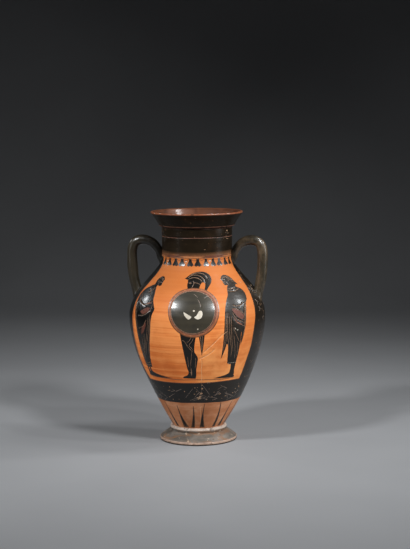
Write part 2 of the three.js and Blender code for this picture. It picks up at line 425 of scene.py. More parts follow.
def draw_rays():
    """Rays drawn with a loaded brush, broad at the foot and drawn out thin to the black band."""
    rng = random.Random(21)
    base, top = arc_at(RAY_BASE_Z), arc_at(BAND_LOW_Z)
    front = ((-61, -65, 1.3), (-40.5, -45.5, 1.7), (-17, -22.5, 3.1), (-2.5, 2.2, 1.9))
    front += ((17, 17.7, 2.8), (43, 40.7, 1.6), (58.5, 61, 2.1), (78, 80, 1.8))
    rays = list(front)
    for i in range(RAY_COUNT - len(front)):
        middle = 97 + i * 17.6 + rng.uniform(-2.5, 2.5)
        rays.append((middle, middle + rng.uniform(-5, 5), rng.uniform(1.4, 2.6)))
    for low_deg, high_deg, half in rays:
        height = (top - base) * rng.choice((0.99, 0.97, 0.93, 0.88, 0.99))
        sway = rng.uniform(-1.5, 1.5)
        blunt = rng.uniform(0.9, 1.9)
        wall = on_wall(0, base)
        sides = {-1: [], 1: []}
        for side in sides:
            for share in (0, 0.12, 0.3, 0.45, 0.6, 0.8, 1):
                narrow = 0.4 + half * max(0.0, 1 - share) ** blunt
                middle = math.radians(mix(low_deg, high_deg, share))
                across = middle * radius_at(base + share * height)
                across += sway * math.sin(math.pi * share) + side * narrow
                sides[side].append((across, share * height))
        left, right = sides[-1], sides[1]
        line = [left[0]] + left + [left[-1], right[-1]] + right[::-1] + [right[0]]
        drawing.area("ray_brown", wall(smooth(line, closed=True)))
        middle = [(mix(a[0], b[0], 0.5), a[1]) for a, b in zip(left, right)]
        core = ribbon(smooth(middle[:5]), half * 0.7)
        drawing.area("black_gloss", wall(np.vstack([core[0], core[1][::-1]])))


def draw_buds(first_deg, last_deg, step_deg):
    """A chain of hanging buds, each split at its foot, under a brown line and a second one."""
    rng = random.Random(int(first_deg) + 500)
    base = arc_at(BUD_BASE_Z)
    count = round((last_deg - first_deg) / step_deg)
    for i in range(count + 1):
        centre = first_deg + i * step_deg + rng.uniform(-0.8, 0.8)
        wall = on_wall(centre, base)
        w = 3.6 + rng.uniform(-0.35, 0.3)
        h = BUD_HEIGHT + rng.uniform(-0.6, 0.2)
        bud = [(0, 0.9), (w * 0.5, -0.2), (w, 1.2), (w * 0.98, 3.0), (w * 0.66, 5.2)]
        bud += [(w * 0.46, 7.4)] + [(w * 0.5, h)] * 2 + [(-w * 0.5, h)] * 2 + [(-w * 0.46, 7.4)]
        bud += [(-w * 0.66, 5.2), (-w * 0.98, 3.0), (-w, 1.2), (-w * 0.5, -0.2)]
        drawing.area("black_gloss", wall(smooth(bud, closed=True, spacing=1.0)))
        if i < count:
            gap = math.radians(step_deg) * radius_at(base + h)
            arc = [(w * 0.2, h - 0.6), (gap * 0.3, h - 2.2), (gap * 0.5, h - 2.8)]
            arc += [(gap * 0.7, h - 2.2), (gap - w * 0.2, h - 0.6)]
            drawing.stroke("added_red", smooth(arc), 0.55, wall, tapered=False)
            dot = wall(ring((gap * 0.5, 1.8), 0.8, 0.8))
            drawing.area("added_red", dot)
            if rng.random() < 0.45:
                up = rng.uniform(3.6, 6.8)
                fleck = [(gap * 0.4, up), (gap * 0.55, up + 0.9), (gap * 0.68, up + 0.1)]
                drawing.stroke("added_white", smooth(fleck), 0.6, wall, tapered=False)
    ends = np.arange(first_deg - 6, last_deg + 6, 2.0)
    line = by_degrees([(a, BUD_BASE_Z + BUD_HEIGHT - 0.5) for a in ends])
    drawing.stroke("thin_gloss", line, 0.9, as_unrolled)
    middle = (first_deg + last_deg) / 2 - 10
    z = BUD_BASE_Z + BUD_HEIGHT + 0.8
    for paint, start, end, width in LINE_OVER_BUDS:
        line = by_degrees([(middle + a, z) for a in range(start, end)])
        drawing.stroke(paint, line, width, as_unrolled)


def fill(paint, points, wall):
    drawing.area(paint, wall(smooth(points, closed=True)))


def incise(lines, wall, width=0.34, depth=INCISED_DEPTH, paint="incised_line"):
    for line in lines:
        drawing.stroke(paint, smooth(line), width, wall, depth)


# The warrior behind a round shield, facing left. Millimetres across and up from the ground
WARRIOR_DEG = 6.3
SHIELD_DEG = 5.56
SHIELD_ARC = arc_at(168.1)


def draw_warrior():
    wall = on_wall(WARRIOR_DEG, GROUND_ARC)
    legs = [(-17.4, 61)] * 2 + [(-15.8, 50), (-14.4, 42), (-12.8, 33), (-11.0, 23)]
    legs += [(-9.2, 14), (-7.8, 9.0), (-9.2, 5.0), (-14.2, 2.3)] + [(-14.4, 0.4)] * 2
    legs += [(0.3, 0)] * 2 + [(1.3, 4.0), (1.5, 12), (2.6, 20), (3.7, 27.6), (1.8, 32.4)]
    legs += [(-0.3, 37), (0.3, 46), (1.6, 54)] + [(2.4, 61)] * 2
    fill("black_gloss", legs, wall)
    between = [(-5.3, 17)] * 2 + [(-5.0, 10)] + [(-4.9, 3.6)] * 2 + [(-3.7, 3.8)] * 2
    between += [(-3.6, 10)]
    fill("ray_brown", between, wall)
    fill("incised_line", [(-4.9, 15), (-4.6, 9), (-4.7, 5), (-4.1, 5), (-4.0, 10)], wall)
    cloth = [(4.2, 61)] * 2 + [(6.3, 48), (7.4, 38)] + [(8.4, 30.6)] * 2
    cloth += [(9.7, 38), (11.0, 47)] + [(12.6, 61)] * 2
    fill("black_gloss", cloth, wall)
    muscles = [
        [(-16.0, 50.6), (-13.0, 50.0), (-10.2, 46.6), (-7.4, 42), (-4.0, 38.2), (-1.8, 35.2)],
        [(-0.6, 54.4), (-3.0, 49.4), (-6.2, 44.6), (-3.6, 40.6), (-1.6, 37.2)],
        [(-3.4, 56.6), (-5.2, 51.4), (-9.4, 47.4)],
        [(-3.6, 36.4), (-3.9, 30), (-4.6, 24), (-5.0, 17)],
        [(-8.4, 30), (-8.0, 22), (-7.4, 15)],
        [(1.2, 29), (0.8, 22), (0.0, 14)],
        [(-6.6, 9.0), (-5.2, 8.2), (-4.6, 9.0)],
        [(6.8, 58), (7.9, 47), (8.3, 37)],
        [(9.8, 58), (9.4, 48), (8.9, 38)],
    ]
    incise(muscles, wall)
    neck = [(-5.5, 113)] * 2 + [(-6.5, 119), (2, 121), (5.6, 118.5)] + [(5.2, 113)] * 2
    fill("black_gloss", neck, wall)
    helmet = [(-8.4, 114.4)] * 2 + [(-8.9, 120), (-8.2, 125), (-9.0, 127.6)]
    helmet += [(-12.2, 128.7)] * 2
    helmet += [(-9.0, 131.6), (-4.6, 135.6), (1.4, 138.2), (8.2, 138.8), (14.2, 136.6)]
    helmet += [(18.4, 132.0), (19.8, 126.2), (18.6, 120.8), (16.0, 115.6)]
    helmet += [(14.6, 111.8)] * 2 + [(11.6, 112.6)] * 2
    helmet += [(12.2, 117.4), (12.2, 121.4), (9.8, 123.6), (7.4, 121.8)]
    helmet += [(5.8, 117.0)] * 2 + [(2.6, 115.6), (-2.4, 116.2)] + [(-4.0, 113.6)] * 2
    fill("black_gloss", helmet, wall)
    crest = [
        [(-8.6, 129.4), (-4.0, 133.4), (2.2, 134.0), (8.0, 131.0), (11.4, 126.4), (12.6, 120.6)],
        [(-9.0, 126.8), (-3.6, 130.0), (1.8, 130.2), (6.6, 127.4), (9.0, 124.2)],
        [(-6.6, 133.2), (-0.6, 136.6), (6.2, 136.8), (12.4, 133.6), (15.8, 128.0)],
    ]
    incise(crest, wall, width=0.4)
    helmet_lines = [
        [(-7.4, 122.6), (-5.8, 123.5), (-4.0, 122.7), (-5.6, 121.9), (-7.3, 122.5)],
        [(-3.4, 115.8), (-1.8, 119.4), (-1.0, 123.2), (-2.6, 126.0)],
        [(-1.0, 123.2), (2.8, 122.6), (6.2, 120.4)],
    ]
    incise(helmet_lines, wall, width=0.3)


def draw_shield():
    wall = on_wall(SHIELD_DEG, SHIELD_ARC)
    rim = (
        ("thin_gloss", 30.9, 0, 0),
        ("shield_rim", 29.7, 0, 0),
        ("added_red", 27.9, -0.3, 0.2),
        ("incised_line", 27.3, -0.5, 0.2),
        ("added_red", 27.05, -0.5, 0.2),
        ("incised_line", 26.3, -0.9, 0.3),
        ("shield_black", 26.0, -0.9, 0.3),
    )
    for paint, radius, x, y in rim:
        drawing.area(paint, wall(ring((x, y), radius)))
    drawing.line(wall(ring((-0.5, 0.2), 27.18)), closed=True, dent=INCISED_DEPTH)
    left = [(-11.6, -0.4)] * 2 + [(-8.3, -2.4), (-5.1, -4.2)] + [(-2.1, -6.2)] * 2
    left += [(-3.5, -8.0), (-5.5, -9.2), (-7.9, -7.6), (-10.5, -4.4)]
    right = [(1.0, -6.4)] * 2 + [(3.6, -4.8), (5.0, -2.4), (6.4, 0.2), (8.0, 1.2)]
    right += [(10.0, 0.4), (10.8, -3.2), (9.4, -7.2), (6.0, -9.0), (3.0, -8.4)]
    fill("added_white", left, wall)
    fill("added_white", right, wall)
    drawing.area("added_white", wall(ring((0.6, 1.0), 1.1, 0.8)))
    drawing.area("added_white", wall(ring((5.2, -20.6), 0.85, 0.7)))
    scratches = [
        [(-0.2, 23.0), (2.2, 20.6), (5.0, 17.8)],
        [(4.8, 15.4), (6.8, 12.0), (8.2, 8.4), (8.6, 5.2)],
        [(12.2, 16.2), (14.4, 18.0), (17.0, 19.4)],
    ]
    incise(scratches, wall, width=0.24, depth=0.03, paint="scratch")


def draw_draped_man(centre, flip, reds=True, folds=True):
    """A standing man wrapped in a long cloak. Drawn facing right, flip -1 faces him left."""
    wall = on_wall(centre, GROUND_ARC, flip)
    ground = [(-6, 1.4), (2, 5.4), (10, 3.2), (20, 1.2)] + [(33, -0.4)] * 2
    ground += [(20, -1.0), (6, -1.2), (-4, -0.9)]
    fill("black_gloss", ground, wall)
    front_foot = [(2.2, 14)] * 2 + [(2.4, 7.4), (5.4, 4.4), (11.4, 2.0)]
    front_foot += [(11.4, 0)] * 2 + [(-0.4, 0)] * 2 + [(-1.4, 3.4), (-0.9, 8)] + [(-1.4, 14)] * 2
    rear_foot = [(-2.4, 14)] * 2 + [(-2.0, 6.0), (0.8, 3.2), (5.0, 1.2)]
    rear_foot += [(5.0, 0)] * 2 + [(-5.4, 0)] * 2 + [(-5.6, 4.0), (-5.0, 8)] + [(-5.6, 14)] * 2
    fill("black_gloss", rear_foot, wall)
    fill("black_gloss", front_foot, wall)
    cloak = [(0.6, 117.4), (-6.4, 113.6), (-14.4, 108.4), (-18.8, 101.4), (-19.3, 94)]
    cloak += [(-17.6, 86), (-15.2, 78), (-12.4, 69), (-10.6, 57), (-9.4, 46)]
    cloak += [(-8.4, 36), (-7.6, 24)] + [(-6.8, 12.4)] * 2
    cloak += [(-2.6, 10.6), (1.8, 11.6)] + [(5.4, 10.8)] * 2
    cloak += [(7.8, 24), (11.2, 36), (14.6, 48), (17.6, 60), (18.8, 70), (19.8, 78)]
    cloak += [(21.6, 85.4), (18.2, 91), (14.4, 97), (11.4, 105), (8.0, 112.4)]
    cloak += [(6.0, 116.6)] * 2
    fill("black_gloss", cloak, wall)
    head = [(0.8, 115)] * 2 + [(1.0, 119), (0.4, 123), (1.8, 127.4), (5.4, 130.2)]
    head += [(9.2, 129.6), (11.2, 127.6)] + [(13.0, 125.4)] * 2
    head += [(11.9, 124.2), (12.5, 122.9), (12.6, 120.4)] + [(13.4, 117.2)] * 2
    head += [(10.4, 115.9), (7.6, 117.2)] + [(6.6, 114.6)] * 2
    fill("black_gloss", head, wall)
    if reds:
        breast = [(-2.6, 80.6)] * 2 + [(3.4, 84.2), (9.0, 86.6)] + [(14.4, 86.6)] * 2
        breast += [(12.6, 82.2), (7.4, 79.2), (1.6, 78.0)]
        stripe = [(4.0, 91.4)] * 2 + [(9.6, 93.0)] + [(14.6, 92.6)] * 2
        stripe += [(9.4, 90.9)]
        skirt = [(0.6, 59.6)] * 2 + [(5.0, 64.4)] + [(9.2, 69.0)] * 2
        skirt += [(9.8, 64.4), (6.0, 58.4)] + [(0.2, 52.6)] * 2 + [(-0.2, 56.4)]
        for fold in (breast, stripe, skirt):
            fill("added_red", fold, wall)
    lines = [
        [(-4.1, 111.5), (1.4, 107.8), (4.8, 102.6)],
        [(6.5, 114.0), (2.2, 108.6), (-3.8, 104.6)],
        [(15.6, 96.6), (9.6, 92.4), (1.5, 89.4), (-7.6, 91.8), (-15.6, 98.4)],
        [(16.9, 91.7), (15.4, 84.0), (8.4, 78.6), (0.2, 76.0), (-8.4, 75.6)],
        [(11.0, 72.8), (7.1, 66.0), (0.6, 61.6), (-6.6, 59.4)],
        [(-19.0, 92.6), (-15.2, 83.6), (-12.8, 72), (-10.4, 58)],
        [(-17.2, 95.6), (-13.2, 85.4), (-10.4, 74), (-8.6, 62), (-8.6, 48)],
    ]
    if folds:
        lines += [
            [(16.3, 80.0), (15.7, 66.4), (12.3, 52.8), (5.4, 38.4), (-2.2, 24.2)],
            [(14.0, 76.2), (12.8, 64), (9.6, 52.6), (3.6, 40), (-3.6, 27)],
            [(18.6, 74.6), (17.1, 58.4), (12.2, 40), (8.0, 26), (6.0, 17)],
            [(17.6, 78.4), (16.6, 62), (13.4, 48), (9.0, 36), (4.6, 20)],
            [(-0.6, 50), (-1.8, 40), (-3.2, 28), (-4.6, 18)],
            [(5.4, 56), (3.2, 45), (0.2, 33)],
            [(-8.0, 44), (-6.8, 32), (-6.0, 22)],
            [(-6.4, 17.0), (-2.0, 15.8), (2.0, 17.4), (5.8, 17.8)],
            [(-6.6, 14.4), (-1.8, 13.0), (2.0, 14.2), (5.6, 13.6)],
            [(-15.4, 104), (-11.6, 99.4), (-12.0, 93.0)],
        ]
    incise(lines, wall)
    face = [
        [(8.4, 124.8), (9.6, 125.5), (10.8, 124.9), (9.6, 124.3), (8.5, 124.7)],
        [(6.8, 118.0), (7.4, 121.0), (9.6, 121.8), (12.0, 121.4)],
        [(1.6, 125.2), (5.6, 127.4), (10.6, 126.8)],
        [(3.2, 121.4), (4.4, 122.8), (5.2, 121.6)],
    ]
    incise(face, wall, width=0.28, depth=0.1)


def draw_draped_elder(centre, flip, reds=True):
    """A standing man in a long robe whose cloak falls in points. Drawn facing left."""
    wall = on_wall(centre, GROUND_ARC, flip)
    ground = [(2.6, 1.4), (-4, 4.6), (-12, 3.0)] + [(-25, -0.2)] * 2 + [(-8, -0.9), (2, -0.8)]
    fill("black_gloss", ground, wall)
    foot = [(-6.8, 21)] * 2 + [(-5.4, 10.6), (-6.4, 5.6), (-12.6, 2.6)] + [(-13.6, 0)] * 2
    foot += [(0.8, 0)] * 2 + [(1.8, 4.4), (0.6, 10)] + [(0.9, 21)] * 2
    fill("black_gloss", foot, wall)
    robe = [(-1.6, 117.4), (-5.6, 112), (-8.6, 104), (-13.6, 96.4), (-18.0, 87)]
    robe += [(-20.8, 75), (-21.6, 59), (-21.4, 43)] + [(-21.0, 25)] * 2
    robe += [(-18.6, 35), (-16.2, 44.6), (-13.8, 36)] + [(-11.8, 19.4)] * 2
    robe += [(-8.0, 17.6), (-4.4, 18.6)] + [(0.6, 18.4)] * 2
    robe += [(1.6, 30), (2.2, 41), (2.4, 50), (2.4, 58)] + [(2.9, 57)] * 2
    robe += [(2.6, 48)] + [(3.2, 41)] * 2
    robe += [(6.2, 52), (8.8, 64), (10.8, 78), (14.8, 91.4), (19.0, 97), (20.0, 104)]
    robe += [(16.6, 110.6), (10.0, 114.2), (7.6, 117.4)]
    fill("black_gloss", robe, wall)
    head = [(-1.8, 115)] * 2 + [(-2.4, 117.8)] + [(-5.8, 117.6)] * 2
    head += [(-6.6, 120.6), (-6.2, 123.4), (-6.9, 124.8)] + [(-8.1, 126.6)] * 2
    head += [(-6.2, 128.8), (-4.4, 131.2), (-0.4, 132.6), (4.4, 131.2), (8.6, 127.4)]
    head += [(11.2, 122.6)] + [(14.6, 117.0)] * 2 + [(10.4, 117.6), (8.2, 114.6)]
    fill("black_gloss", head, wall)
    if reds:
        sash = [(-9.4, 86.2)] * 2 + [(-3.6, 85.6), (1.4, 82.6)] + [(6.8, 77.6)] * 2
        sash += [(5.4, 73.4), (2.4, 73.2), (-2.8, 76.4), (-7.2, 81.0)]
        stripe = [(-8.6, 76.6)] * 2 + [(-3.6, 71.4)] + [(3.6, 67.4)] * 2
        stripe += [(2.8, 66.0), (-4.6, 69.4)]
        fill("added_red", sash, wall)
        fill("added_red", stripe, wall)
    lines = [
        [(-7.1, 110.4), (-1.8, 108.7), (5.3, 108.9), (12.4, 111.3)],
        [(-5.6, 112.8), (0.8, 112.0), (7.6, 113.2)],
        [(-7.9, 91.4), (-2.1, 89.2), (5.3, 90.0), (10.1, 93.4)],
        [(-9.8, 86.8), (-3.1, 86.2), (3.0, 82.6), (9.2, 76.6)],
        [(-9.6, 83.0), (-7.4, 77.8), (-2.9, 73.4), (7.6, 68.4)],
        [(-9.5, 77.6), (-5.4, 71.2), (4.8, 65.4), (7.4, 64.6)],
        [(12.9, 93.4), (9.2, 82.5), (7.9, 74.7), (6.8, 62)],
        [(15.2, 93.8), (11.0, 84), (9.6, 74), (7.6, 62), (4.6, 49)],
        [(-17.4, 84.5), (-19.0, 74.7), (-19.6, 62), (-19.8, 46), (-20.2, 33)],
        [(-15.7, 83.4), (-17.1, 70.7), (-16.8, 57.6), (-16.4, 47)],
        [(-13.7, 82.2), (-14.6, 72.5), (-14.4, 62), (-14.4, 46), (-13.0, 34)],
        [(-11.6, 80.1), (-12.2, 70.3), (-11.4, 57), (-9.4, 45), (-6.4, 33)],
        [(-10.1, 65.3), (-5.6, 57), (-1.6, 50), (1.3, 44.9)],
        [(-13.2, 58), (-11.6, 46), (-9.0, 36), (-8.2, 27)],
        [(-8.4, 56), (-5.4, 43), (-3.2, 32), (-2.6, 24)],
        [(-18.4, 78), (-18.2, 62), (-18.0, 50), (-18.8, 40)],
        [(-1.8, 47), (-0.2, 36), (0.0, 27)],
    ]
    incise(lines, wall)
    marks = [[(x, 19.9), (x + 1.1, 18.9)] for x in (-10.4, -8.0, -5.6, -3.2, -0.9)]
    marks += [[(-7.7, 64.1), (-5.6, 61.8)], [(-4.6, 60.6), (-2.0, 60.9)]]
    incise(marks, wall, width=0.75, depth=0.08, paint="added_white")
    face = [
        [(-5.6, 126.2), (-4.4, 126.9), (-3.1, 126.3), (-4.4, 125.7), (-5.5, 126.1)],
        [(-5.8, 121.8), (-3.4, 122.6), (-1.4, 121.4), (-0.8, 118.0)],
        [(-5.6, 128.6), (-0.6, 129.2), (4.6, 126.0), (8.2, 120.6)],
        [(-2.4, 130.6), (3.2, 129.6), (8.0, 124.8), (11.4, 119.4)],
        [(1.4, 123.6), (2.6, 125.0), (3.6, 123.8)],
    ]
    incise(face, wall, width=0.3, depth=0.1)


def draw_scene_ground(first_deg, last_deg):
    """The thin line that the figures stand on."""
    degrees = np.arange(first_deg, last_deg, 2.0)
    line = by_degrees([(a, GROUND_Z - 1.7 + 0.25 * math.sin(a / 7)) for a in degrees])
    drawing.stroke("thin_gloss", line, 0.9, as_unrolled)


# Wear: chips, scratches and cracks


def blob(rng, size):
    count = rng.choice((7, 8, 9))
    loop = []
    for i in range(count):
        angle = 2 * math.pi * i / count
        reach = size * rng.uniform(0.6, 1.25)
        loop.append((reach * math.cos(angle) * 1.15, reach * math.sin(angle)))
    return loop


def draw_chip(rng, wall, size):
    drawing.area("clay_chip", wall(smooth(blob(rng, size), closed=True, spacing=0.8)))


def draw_chips(rng, count, z_range, degrees, sizes):
    for _ in range(count):
        wall = on_wall(rng.uniform(*degrees), arc_at(rng.uniform(*z_range)))
        size = rng.uniform(*sizes) * rng.uniform(0.5, 1.0)
        draw_chip(rng, wall, size)
        drawing.line(wall([(0, 0), (size * 0.2, 0)]), dent=CHIP_DEPTH)


def draw_scratches(rng, count, z_range, degrees, lengths):
    """Straight hairline scratches, most of them steep, some meeting at an angle."""
    for _ in range(count):
        wall = on_wall(rng.uniform(*degrees), arc_at(rng.uniform(*z_range)))
        length = rng.uniform(*lengths)
        heading = rng.choice((-1, 1)) * rng.uniform(0.25, 1.15)
        along = np.array((math.cos(heading), math.sin(heading)))
        line = [along * length * t for t in (-0.5, 0, 0.5)]
        drawing.stroke("scratch", smooth(line), rng.uniform(0.26, 0.42), wall, SCRATCH_DEPTH)
        if rng.random() < 0.45:
            turned = np.array((along[0], -along[1])) * length * 0.6
            fork = smooth([along * length * 0.5, along * length * 0.5 - turned])
            drawing.stroke("scratch", fork, 0.28, wall, SCRATCH_DEPTH)


def draw_cracks():
    """Hairline cracks from the foot of the front panel down through the black band."""
    pale = [
        [(12.6, 118), (17, 122.5), (23, 130.5), (29, 139), (34, 144)],
        [(10.4, 111), (15, 114), (20, 118), (24, 123)],
        [(12.4, 79), (12.9, 88), (12.2, 97), (12.8, 105), (12.2, 112)],
        [(13.2, 50), (12.8, 42), (13.2, 34), (12.9, 24)],
    ]
    for crack in pale:
        line = smooth(by_degrees(crack))
        drawing.stroke("pale_crack", line, 0.55, as_unrolled, INCISED_DEPTH)
    band = smooth(by_degrees([(13.2, 57), (12.6, 64), (13.2, 71), (12.4, 79)]))
    drawing.stroke("scratch", band, 0.3, as_unrolled, INCISED_DEPTH)
    chips = [(13.5, 73.0, 1.2), (12.7, 66.4, 1.6), (11.6, 62.2, 1.3), (10.2, 60.4, 1.8)]
    chips += [(8.2, 60.9, 1.0), (13.4, 77.4, 0.8), (19.6, 80.8, 1.0), (21.4, 80.2, 0.6)]
    rng = random.Random(8)
    for degrees, z, size in chips:
        draw_chip(rng, on_wall(degrees, arc_at(z)), size)


ALL_ROUND = (SEAM_DEG + 4, SEAM_DEG + 356)
IN_BAND = (BAND_LOW_Z + 3.5, BAND_HIGH_Z - 3.5)
# What is drawn, how many, heights in millimetres, degrees round, sizes in millimetres
WEAR = (
    # The black band
    (draw_scratches, 24, IN_BAND, (-60, 66), (7, 19)),
    (draw_scratches, 14, IN_BAND, (70, 260), (4, 12)),
    (draw_chips, 26, IN_BAND, (-65, 65), (0.35, 0.9)),
    (draw_chips, 22, IN_BAND, ALL_ROUND, (0.35, 0.9)),
    # The wall under the right handle and behind it
    (draw_chips, 60, (84, 200), (76, 98), (0.3, 0.75)),
    (draw_chips, 50, (80, 208), (67, 106), (0.3, 0.75)),
    (draw_chips, 40, (56, 215), (64, 140), (0.3, 0.7)),
    # The wall behind the left handle
    (draw_chips, 40, (56, 215), (232, 264), (0.3, 0.7)),
    (draw_chips, 26, (95, 190), (252, 266), (0.3, 0.8)),
    # The neck
    (draw_chips, 12, (232, 258), ALL_ROUND, (0.3, 0.6)),
    (draw_chips, 9, (248, 256), (62, 71), (0.3, 0.6)),
    (draw_chips, 1, (257.4, 258), (65.5, 66.5), (1.3, 1.4)),
    # Scratches on the right wall, the back panel and the right shoulder
    (draw_scratches, 16, (90, 195), (72, 104), (3, 8)),
    (draw_scratches, 8, (100, 195), (160, 200), (3, 9)),
    (draw_scratches, 9, (196, 204), (64, 80), (2, 5)),
)


def draw_wear():
    rng = random.Random(5)
    for draw, count, z_range, degrees, sizes in WEAR:
        draw(rng, count, z_range, degrees, sizes)


def draw_all():
    draw_zones()
    draw_border_line()
    draw_neck_lines()
    draw_rays()
    draw_buds(-52.0, 72.0, 12.4)
    draw_buds(BACK_CENTRE - 56, BACK_CENTRE + 56, 12.4)
    draw_scene_ground(-54, 56)
    draw_scene_ground(BACK_CENTRE - 54, BACK_CENTRE + 54)
    draw_warrior()
    draw_shield()
    draw_draped_man(-46, 1)
    draw_draped_elder(46, 1)
    draw_draped_man(BACK_CENTRE - 36, 1, folds=False)
    draw_draped_elder(BACK_CENTRE, 1)
    draw_draped_man(BACK_CENTRE + 36, -1, reds=False, folds=False)
    draw_cracks()
    draw_wear()


# The wall as a mesh


def inside_loop(points, loop):
    """Which points lie inside a closed loop."""
    x, y = points[:, 0], points[:, 1]
    found = np.zeros(len(points), bool)
    nxt = np.roll(loop, -1, axis=0)
    for (x0, y0), (x1, y1) in zip(loop, nxt):
        if y0 == y1:
            continue
        crosses = (y0 > y) != (y1 > y)
        at = x0 + (y - y0) * (x1 - x0) / (y1 - y0)
        found ^= crosses & (x < at)
    return found


def wall_mesh():
    """Triangulates the unrolled wall along every drawn line and says how each face is painted."""
    columns = np.linspace(WALL_LEFT, WALL_RIGHT, COLUMNS + 1)
    rows = np.linspace(0, WALL_TOP, round(WALL_TOP / WALL_STEP) + 1)
    for arc in (rows[0], rows[-1]):
        drawing.line(np.column_stack([columns, np.full(len(columns), arc)]))
    for u in (WALL_LEFT, WALL_RIGHT):
        drawing.line(np.column_stack([np.full(len(rows), u), rows]))
    tree = KDTree(len(drawing.points))
    for i, (u, arc) in enumerate(drawing.points):
        tree.insert((u, arc, 0), i)
    tree.balance()
    points = list(drawing.points)
    dents = list(drawing.dents)
    for i, arc in enumerate(rows[1:-1]):
        shift = 0.5 * (columns[1] - columns[0]) if i % 2 else 0.0
        for u in columns[1:-1] + shift:
            if u < WALL_RIGHT - CLEAR_OF_SEAM and tree.find((u, arc, 0))[2] > CLEAR_OF_LINES:
                points.append((u, arc))
                dents.append(0.0)
    made = delaunay_2d_cdt([Vector(p) for p in points], drawing.edges, [], 0, 1e-4, True)
    flat = np.array([tuple(v) for v in made[0]])
    faces = np.array([f for f in made[2] if len(f) == 3])
    dent = np.array([max((dents[k] for k in origin), default=0.0) for origin in made[3]])
    middle = flat[faces].mean(axis=1)
    paint = np.zeros(len(faces), int)
    for index, loop in drawing.areas:
        low, high = loop.min(axis=0), loop.max(axis=0)
        near = np.flatnonzero(((middle >= low) & (middle <= high)).all(axis=1))
        paint[near[inside_loop(middle[near], loop)]] = index
    angle = flat[:, 0] / BELLY_RADIUS
    along_r = np.interp(flat[:, 1], WALL_ARC, WALL_ALONG[:, 0])
    along_z = np.interp(flat[:, 1], WALL_ARC, WALL_ALONG[:, 1])
    z = np.interp(flat[:, 1], WALL_ARC, WALL[:, 1]) + dent * along_r
    radius = radius_at(flat[:, 1]) - dent * along_z
    return to_space(angle, radius, z), faces.tolist(), paint.tolist()


# The turned parts: foot, mouth and inside


def turned(rows, paints):
    """Rows of (radius, z) swept round, each strip between two rows with its own paint."""
    angle = np.linspace(WALL_LEFT, WALL_RIGHT, COLUMNS + 1)[:-1] / BELLY_RADIUS
    points = []
    starts = []
    for radius, z in rows:
        starts.append(sum(len(p) for p in points))
        if radius < 1e-6:
            points.append(np.array([[0.0, 0.0, z * METRES]]))
        else:
            chips = edge_chip(angle, radius, z)
            points.append(to_space(angle, radius - chips, np.full(COLUMNS, z - chips * 0.4)))
    faces, paint = [], []
    for i, name in enumerate(paints):
        a, b = starts[i], starts[i + 1]
        for j in range(COLUMNS):
            k = (j + 1) % COLUMNS
            if rows[i][0] < 1e-6:
                faces.append((a, b + k, b + j))
            elif rows[i + 1][0] < 1e-6:
                faces.append((a + j, a + k, b))
            else:
                faces.append((a + j, a + k, b + k, b + j))
            paint.append(PAINT[name])
    return np.vstack(points), faces, paint


def edge_chip(angle, radius, z):
    """How deep the lip and the foot's edge are chipped, in millimetres."""
    at_lip = z > LIP_Z - 3 and radius > LIP_RADIUS - 3
    at_foot = z < FOOT_EDGE_HEIGHT + 1.5 and radius > FOOT_RADIUS - 1.5 and z > 0.2
    if not (at_lip or at_foot):
        return np.zeros(len(angle))
    seed = 3.0 if at_lip else 9.0
    depth = []
    for a in angle:
        n = noise.noise(Vector((math.sin(a) * 5, math.cos(a) * 5, seed + z * 0.12)))
        fine = noise.noise(Vector((math.sin(a) * 16, math.cos(a) * 16, seed + z * 0.4)))
        depth.append(max(0.0, n - 0.36) * 3.0 + max(0.0, fine - 0.42) * 1.6)
    return np.array(depth)


def bend(p0, p1, p2, steps):
    """Points on a curve from p0 to p2 that heads for p1, without its first point."""
    p0, p1, p2 = (np.array(p, float) for p in (p0, p1, p2))
    t = np.linspace(0, 1, steps + 1)[1:, None]
    return [tuple(p) for p in (1 - t) ** 2 * p0 + 2 * t * (1 - t) * p1 + t * t * p2]


class Strips:
    """Rows of a turned surface in order, and the paint of the strip up to each of them."""

    def __init__(self, start):
        self.rows = [start]
        self.paints = []

    def add(self, points, paint):
        self.rows.extend(points)
        self.paints.extend([paint] * len(points))


def foot_mesh():
    strips = Strips((0.0, RECESS_DEPTH))
    ring_outer = FOOT_RADIUS - 1.2
    recess = [(r, RECESS_DEPTH - 0.25 * math.sin(r * 0.9)) for r in (6, 12, 18, 24)]
    strips.add(recess, "bare_clay")
    strips.add(bend(strips.rows[-1], (32, 8.6), (RESTING_RING_INNER, 0.0), 6), "bare_clay")
    strips.add([(40.5, 0.0), (ring_outer, 0.0)], "bare_clay")
    # The underside of the foot's edge is painted near black as the shadow where it meets the floor
    strips.add(bend((ring_outer, 0), (FOOT_RADIUS, 0), (FOOT_RADIUS, 1.2), 4), "foot_under_edge_shadow")
    strips.add([(FOOT_RADIUS + 0.05, 1.6)], "foot_under_edge_shadow")
    strips.add([(FOOT_RADIUS, FOOT_EDGE_HEIGHT - 0.7)], "foot_edge")
    slope_start = (FOOT_RADIUS - 0.7, FOOT_EDGE_HEIGHT + 0.8)
    edge = bend(strips.rows[-1], (FOOT_RADIUS, FOOT_EDGE_HEIGHT + 0.4), slope_start, 3)
    strips.add(edge, "foot_edge")
    slope = bend(slope_start, (40.4, 9.0), (FOOT_WAIST_RADIUS, FOOT_HEIGHT), 10)
    strips.add(slope, "worn_foot")
    middle = (FOOT_HEIGHT + STEM_Z) / 2
    under = bend(slope[-1], (FILLET_RADIUS, FOOT_HEIGHT), (FILLET_RADIUS, middle), 4)
    over = bend((FILLET_RADIUS, middle), (FILLET_RADIUS, STEM_Z), (STEM_RADIUS, STEM_Z), 4)
    strips.add(under, "worn_foot")
    strips.add(over, "fillet")
    return turned(strips.rows, strips.paints)


